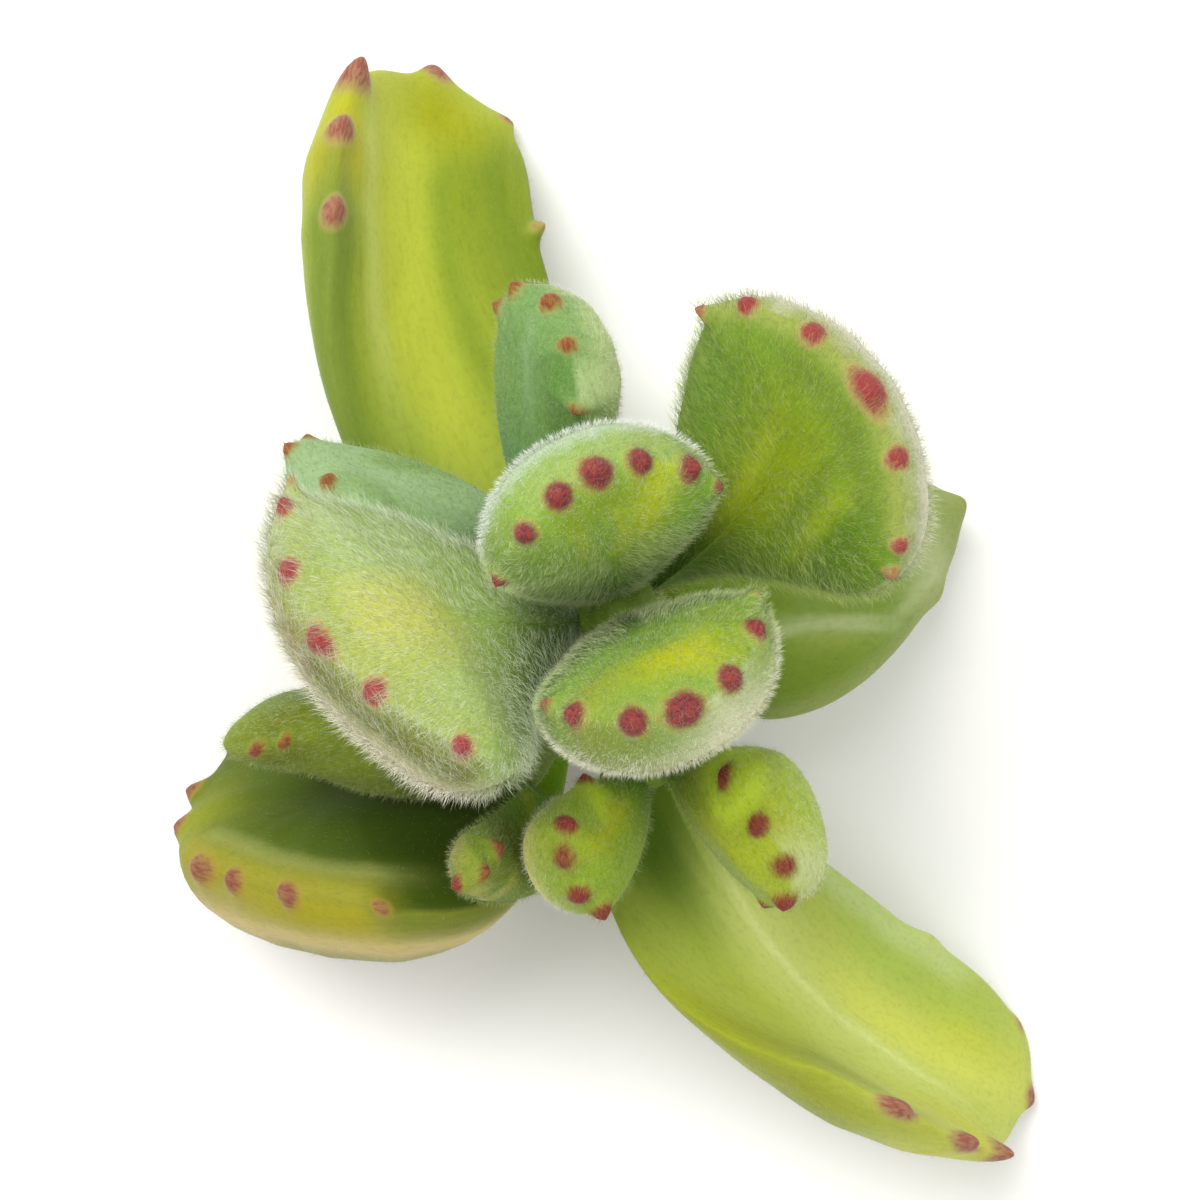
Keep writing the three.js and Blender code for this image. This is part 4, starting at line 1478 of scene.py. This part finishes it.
        teeth=toothed((-58, 0.9, 0.8, 0.65), (-25, 0.9, 1.0, 0.65), (29, 0.9, 1.0, 0.65, -0.4),
                      (97, 0.9, 0.8, 0.55, 0, 0.4)),
        colouring=Colouring("#849e70", "#8ca878", "#98ae78", (
            Band("#7c9a58", (0.75, 0.65), 0.3, (0.2, 0.85), 0.7),
            Band("#6c8a44", (-0.8, -0.75), 0.3, (0.2, 0.7), 0.8),
        )),
        pelt=YOUNG_PELT, finish=MINT_FLESH,
    ),
    Leaf(
        "front_shoot_leaf_left", YOUNG, azimuth=228, turn=17, rise=(21, 60), roll=-48, length=12.6, width=8.8,
        thickness=7.4, fold=28, widest=0.76, apex_power=0.78, skew=-0.5, base_power=(1.6, 1.3), shoot="front",
        teeth=toothed((-124, 0.9, 0.9, 0.65), (-66, 1.0, 0.9, 0.85), (-23, 1.0, 1.0, 0.85, 0.7, 0.7),
                      (12, 0.9, 0.9, 0.85), (48, 0.9, 1.2, 0.8)),
        colouring=Colouring("#58780c", "#7c9420", "#8c9040", (
            Band("#989f10", (-0.15, -0.5), 0.28, (0.3, 0.95), 0.85),
            Band("#a6bc14", (-0.7, -0.65), 0.25, (0.3, 0.6), 0.85),
            # painted light: a pale yellow wash on the lower face, lifting its shade
            Collar("#e6e488", 0.5, 0.25, (-150, 150), 0.9, Face.LOWER),
        ), wrap=0.75),
        pelt=YOUNG_PELT, finish=YOUNG_FLESH,
    ),
    Leaf(
        "front_shoot_leaf_right", YOUNG, azimuth=338, turn=-39, rise=(33, 51), roll=82, length=15.1,
        width=9.3, thickness=8.5, fold=51, widest=0.68, apex_power=0.81, skew=-3.0, base_power=(2.4, 1.4),
        shoot="front",
        teeth=toothed((-66, 0.9, 0.7, 0.6, 0, 0.8), (-32, 1.0, 1.1, 0.9), (-1, 1.0, 0.9, 0.85, -0.9, 0.8),
                      (30, 1.0, 0.9, 0.8), (93, 0.9, 1.0, 0.75, 0.4)),
        colouring=Colouring("#607a0c", "#8f9c24", "#98ac44", (
            Band("#a0ac1c", (0.2, 0.2), 0.4, (0.5, 0.98), 0.7),
            Band("#8ca44c", (-0.8, -0.7), 0.3, (0.55, 1.0), 0.7),
            # partly the leaf's lime and partly painted light, lifting the shade that the crown leaf casts
            # here
            Band("#c0d830", (0.9, 0.85), 0.25, (0.3, 0.8), 0.85),
            Band("#b8c08c", (0.0, 0.0), 1.0, (0.95, 1.1), 0.85, 0.1, Face.LOWER),
        ), wrap=0.85),
        pelt=YOUNG_PELT, finish=YOUNG_FLESH,
    ),
    Leaf(
        "left_shoot_leaf_back", YOUNG, azimuth=172, turn=2, rise=(9, 1), roll=-106, length=21.5, width=10.1,
        thickness=6.8, fold=4, widest=0.68, apex_power=0.72, skew=-3.6, base_power=(1.6, 1.4), shoot="left",
        teeth=toothed((-79, 0.8, 0.8, 0.5, 0, 0.8), (-64, 0.9, 0.8, 0.6, 0, 0.8),
                      (36, 0.9, 0.9, 0.6, 0, 0.6)),
        colouring=Colouring("#344a0c", "#728226", "#68783c", (
            Band("#606810", (-0.85, -0.85), 0.25, (0.72, 0.97), 0.85),
            Band("#8c9a68", (0.2, -0.1), 0.3, (0.85, 1.0), 0.5, 0.1),
        )),
        pelt=DUSK_PELT, finish=YOUNG_FLESH,
    ),
    Leaf(
        "left_shoot_leaf_front", YOUNG, azimuth=272, turn=-83, rise=(43, 52), roll=-43, length=15.0,
        width=8.2, thickness=5.4, fold=29, widest=0.66, apex_power=0.87, skew=-7.0, base_power=(2.6, 1.6),
        shoot="left",
        teeth=toothed((-24, 0.9, 1.0, 0.7), (-58, 0.9, 0.9, 0.75, 0, 0.7), (-84, 0.9, 1.0, 0.75, 0, 0.85)),
        colouring=Colouring("#5f8814", "#5c700e", "#8c8848", (
            Band("#94a030", (0.0, 0.0), 0.15, (0.1, 0.6), 0.7),
            Band("#a09c48", (-0.1, 0.5), 0.3, (0.75, 1.0), 0.7),
            Band("#98983a", (-0.5, -0.6), 0.35, (0.98, 1.2), 0.85),
            Band("#7a941e", (-0.9, -0.9), 0.3, (0.6, 1.2), 0.7, 0.1, Face.LOWER),
        ), wrap=0.75),
        pelt=DUSK_PELT, finish=YOUNG_FLESH,
    ),
)


# ---- Stem ----------------------------------------------------------------------------------------


@dataclass(frozen=True)
class Stem:
    """The upright stem and the three side shoots that grow out of it.

    levels are heights above the cut with the stem's radius at each: it swells at every node and closes in a
    tip. rings and tip_rings are how many rings of points it has below the tip and on it, and bud_rings how
    many lie on the round bud that ends each shoot, between bud_angles. scar_depth and scar_pace are the
    faint rings along it, and rib_depths, ribs and rib_twist the ribs round it, as shares of its radius. The
    skin turns from woody to young between young_heights, and is bare wood below cut_height.
    """

    levels: tuple[tuple[float, float], ...] = (
        (0.0, 3.3), (2.0, 3.4), (4.0, 3.9), (5.8, 3.3), (9.8, 3.9), (13.0, 3.1), (17.0, 3.8),
        (20.5, 3.0), (23.5, 3.6), (26.5, 2.8), (29.0, 3.1), (30.6, 2.1), (31.8, 1.0), (32.2, 0.0),
    )
    rings: int = 90
    tip_rings: int = 5
    sides: int = 64
    shoot_sides: int = 32
    shoot_rings: int = 24
    bud_rings: int = 7
    bud_angles: tuple[float, float] = (12, 84)
    scar_depth: float = 0.012
    scar_pace: float = 5.5
    rib_depths: tuple[float, float] = (0.02, 0.012)
    ribs: tuple[int, int] = (5, 11)
    rib_twist: float = 0.12
    young_heights: tuple[float, float] = (6, 24)
    cut_height: float = 0.01
    pelt: Pelt = Pelt(density=5.0, length=0.6, lean=0.2, radius=0.018, scatter=0.35, curl=0.0, bent=False)

    WOODY = "#77703c"
    YOUNG = "#6c881c"
    CUT = "#cbbf8c"
    HAIR_FOOT = "#8ca24a"

    def trunk(self) -> tuple[np.ndarray, int]:
        """The upright stem: its radius runs smoothly through the given radii, with faint rings and ribs.

        Returns:
            Points, poles first and last, and the number of rings.
        """
        heights, radii = np.array(self.levels).T
        tip = np.linspace(heights[-2], heights[-1] - 0.02, self.tip_rings + 1)[1:]
        place = np.concatenate([np.linspace(0, heights[-2], self.rings), tip])
        spot = np.interp(place, heights, np.arange(len(heights)))
        before = np.minimum(np.floor(spot).astype(int), len(heights) - 2)
        part = smooth(0, 1, spot - before)
        radius = radii[before] * (1 - part) + radii[before + 1] * part
        radius = radius * (1 + self.scar_depth * np.sin(place * self.scar_pace))
        angle = 2 * np.pi * np.arange(self.sides) / self.sides
        broad = self.rib_depths[0] * np.sin(self.ribs[0] * angle[None] + self.rib_twist * place[:, None])
        narrow = self.rib_depths[1] * np.sin(self.ribs[1] * angle[None])
        reach = radius[:, None] * (1 + broad + narrow)
        level = np.repeat(place[:, None], self.sides, axis=1)
        rings = np.stack([reach * np.cos(angle), reach * np.sin(angle), level], axis=-1)
        poles = np.array([[0, 0, 0.0], [0, 0, heights[-1]]])
        points = np.concatenate([poles[:1], rings.reshape(-1, 3), poles[1:]]) + STEM_FOOT
        return points, len(place)

    def shoot(self, shoot: Shoot) -> tuple[np.ndarray, int]:
        """A side shoot: a circle carried along an arch, with a round bud at its tip.

        Args:
            shoot: which one.
        Returns:
            Points, poles first and last, and the number of rings.
        """
        start = STEM_FOOT + np.array([0, 0, shoot.start])
        tip = shoot.tip()
        bend = (start + tip) / 2 + np.array([0, 0, shoot.lift])
        share = np.linspace(0, 1, self.shoot_rings)[:, None]
        path = start * (1 - share) ** 2 + 2 * bend * share * (1 - share) + tip * share**2
        way = unit((bend - start) * (1 - share) + (tip - bend) * share)
        radius = shoot.root_radius + (shoot.tip_radius - shoot.root_radius) * share
        dome = np.radians(np.linspace(*self.bud_angles, self.bud_rings))[:, None]
        path = np.concatenate([path, tip + way[-1] * shoot.tip_radius * np.sin(dome)])
        radius = np.concatenate([radius, shoot.tip_radius * np.cos(dome)])
        way = np.concatenate([way, np.repeat(way[-1:], len(dome), axis=0)])
        sideways = unit(np.stack([-way[:, 1], way[:, 0], np.zeros(len(way))], axis=1))
        upwards = np.cross(way, sideways)
        angle = -2 * np.pi * np.arange(self.shoot_sides)[None, :, None] / self.shoot_sides
        ring = sideways[:, None] * np.cos(angle) + upwards[:, None] * np.sin(angle)
        rings = path[:, None] + radius[:, None] * ring
        crest = tip + way[-1] * shoot.tip_radius
        return np.concatenate([start[None], rings.reshape(-1, 3), crest[None]]), len(path)

    def surface(self, points: np.ndarray, rows: int, columns: int) -> LeafSurface:
        """Wraps a stem's points for the hairs that grow on it, which lean upwards.

        Args:
            points: poles first and last, rings between them.
            rows: number of rings.
            columns: points in a ring.
        Returns:
            The surface, with no redness and no margin.
        """
        normals = Leaf.normals(points, rows, columns)
        if (normals * (points - points.mean(axis=0)))[1:-1].sum() < 0:
            normals = -normals
        zero = np.zeros(len(points))
        upwards = np.array([0, 0, 1.0])
        towards = unit(upwards - normals * (normals @ upwards)[:, None] + 1e-6)
        return LeafSurface(
            points=points,
            normals=normals,
            towards_end=towards,
            across=zero,
            along=zero,
            side=zero + 1,
            ring=zero,
            angle=zero,
            tooth=zero,
            lamina=points,
            rows=rows,
            columns=columns,
        )

    def build(self, seed: int, hair: bpy.types.Material) -> list[bpy.types.Object]:
        """Makes the stem with its shoots as one piece, and its hairs as another.

        Args:
            seed: the seed of the hairs.
            hair: their finish.
        Returns:
            The new pieces.
        """
        rng = np.random.default_rng(seed)
        parts = [(*self.trunk(), self.sides)]
        parts += [(*self.shoot(shoot), self.shoot_sides) for shoot in SHOOTS.values()]
        points, quads, fans, coats = [], [], [], []
        placed = 0
        for place, rows, columns in parts:
            quad, fan = rolled_faces(rows, columns)
            quads.append(quad[:, ::-1] + placed)
            fans.append(fan[:, ::-1] + placed)
            points.append(place)
            placed += len(place)
            tint = np.tile(linear(self.HAIR_FOOT), (len(place), 1))
            coats.append(Hairs(self.pelt, rng).grow(self.surface(place, rows, columns), tint))
        place = np.concatenate(points)
        young = smooth(*self.young_heights, place[:, 2])[:, None]
        tint = linear(self.WOODY) * (1 - young) + linear(self.YOUNG) * young
        cut = (place[:, 2] < self.cut_height)[:, None]
        wood = Shell(
            points=place,
            faces=[np.concatenate(quads), np.concatenate(fans)],
            colours={"tint": np.where(cut, linear(self.CUT), tint)},
            values={"woody": 1 - 0.9 * young[:, 0]},
        ).piece("main_stem_flesh", "stem", StemFinish().material())
        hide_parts("main_stem")
        coat = joined(coats).piece("main_stem_hair", "hair", hair)
        let_light_through(coat)
        return [wood, coat]


def joined(shells: Sequence[Shell]) -> Shell:
    """Puts several shells of hairs into one, with a strip of the map for each.

    Args:
        shells: shells with the same kinds of faces.
    Returns:
        The one shell.
    """
    sizes = [len(shell.points) for shell in shells]
    offsets = np.concatenate([[0], np.cumsum(sizes)[:-1]])
    faces, strips = [], []
    for kind in range(len(shells[0].faces)):
        faces.append(np.concatenate([shell.faces[kind] + start for shell, start in zip(shells, offsets)]))
        for row, shell in enumerate(shells):
            corners = [group.size for group in shell.faces]
            begin = sum(corners[:kind])
            strip = shell.corner_map[begin:begin + corners[kind]] * [1, 1 / len(shells)]
            strips.append(strip + [0, row / len(shells)])
    return Shell(
        points=np.concatenate([shell.points for shell in shells]),
        faces=faces,
        colours={"shade": np.concatenate([shell.colours["shade"] for shell in shells])},
        corner_map=np.concatenate(strips),
    )


# ---- Studio --------------------------------------------------------------------------------------


@dataclass(frozen=True)
class Studio:
    """A plain pale floor, soft light from above and a camera that looks straight down.

    Lengths are in millimetres and powers in watts. aim is the height that the lamps face, about the middle
    of the plant.
    """

    camera_height: float = 388.0
    camera_offset: tuple[float, float] = (-1.5, 1.0)
    sensor: float = 36.0
    lens: float = 140.0
    floor_size: float = 4000.0
    key_place: tuple[float, float, float] = (-350.0, 450.0, 900.0)
    key_size: float = 700.0
    key_power: float = 11.0
    fill_place: tuple[float, float, float] = (500.0, -300.0, 700.0)
    fill_size: float = 800.0
    fill_power: float = 3.0
    aim: float = 25.0
    sky: float = 0.6

    def floor(self) -> None:
        """Lays the floor just under the plant."""
        half = self.floor_size / 2
        corners = np.array([[-half, -half, 0], [half, -half, 0], [half, half, 0], [-half, half, 0]])
        mesh = bpy.data.meshes.new("floor")
        mesh.from_pydata((corners * MM).tolist(), [], [(0, 1, 2, 3)])
        mesh.materials.append(FloorFinish().material())
        floor = bpy.data.objects.new("floor", mesh)
        bpy.context.collection.objects.link(floor)

    def lamp(self, name: str, place: tuple[float, float, float], size: float, power: float) -> None:
        """Hangs a soft square lamp that faces the plant.

        Args:
            name: its name.
            place: where, in millimetres.
            size: its side, in millimetres.
            power: in watts.
        """
        data = bpy.data.lights.new(name, "AREA")
        data.energy = power
        data.size = size * MM
        lamp = bpy.data.objects.new(name, data)
        bpy.context.collection.objects.link(lamp)
        spot = np.array(place) * MM
        lamp.location = spot
        towards = Vector(np.array([0, 0, self.aim * MM]) - spot)
        lamp.rotation_euler = towards.to_track_quat("-Z", "Y").to_euler()

    def light(self) -> None:
        """Lights the set: a big lamp over the upper left, a weaker one opposite, and an even sky."""
        self.lamp("key", self.key_place, self.key_size, self.key_power)
        self.lamp("fill", self.fill_place, self.fill_size, self.fill_power)
        world = bpy.data.worlds.new("sky")
        world.use_nodes = True
        back = world.node_tree.nodes["Background"]
        back.inputs["Color"].default_value = (1.0, 1.0, 1.0, 1.0)
        back.inputs["Strength"].default_value = self.sky
        bpy.context.scene.world = world

    def camera(self) -> None:
        """Sets the camera straight over the plant, looking down."""
        data = bpy.data.cameras.new("camera")
        data.sensor_width = self.sensor
        data.lens = self.lens
        data.clip_start = 0.01
        camera = bpy.data.objects.new("camera", data)
        bpy.context.collection.objects.link(camera)
        place = STEM_FOOT + np.array([*self.camera_offset, self.camera_height])
        camera.location = place * MM
        bpy.context.scene.camera = camera

    def build(self) -> None:
        """Sets up floor, lights, camera and plain screen colours."""
        self.floor()
        self.light()
        self.camera()
        bpy.context.scene.view_settings.view_transform = "Standard"


def main() -> None:
    """Builds the plant leaf by leaf, then the studio round it."""
    logging.basicConfig(level=logging.INFO, format="%(name)s %(message)s")
    hair = HairFinish().material()
    Stem().build(STEM_SEED, hair)
    for place, leaf in enumerate(LEAVES):
        leaf.build(LEAF_SEED + place, hair)
    Studio().build()


if __name__ == "__main__":
    main()
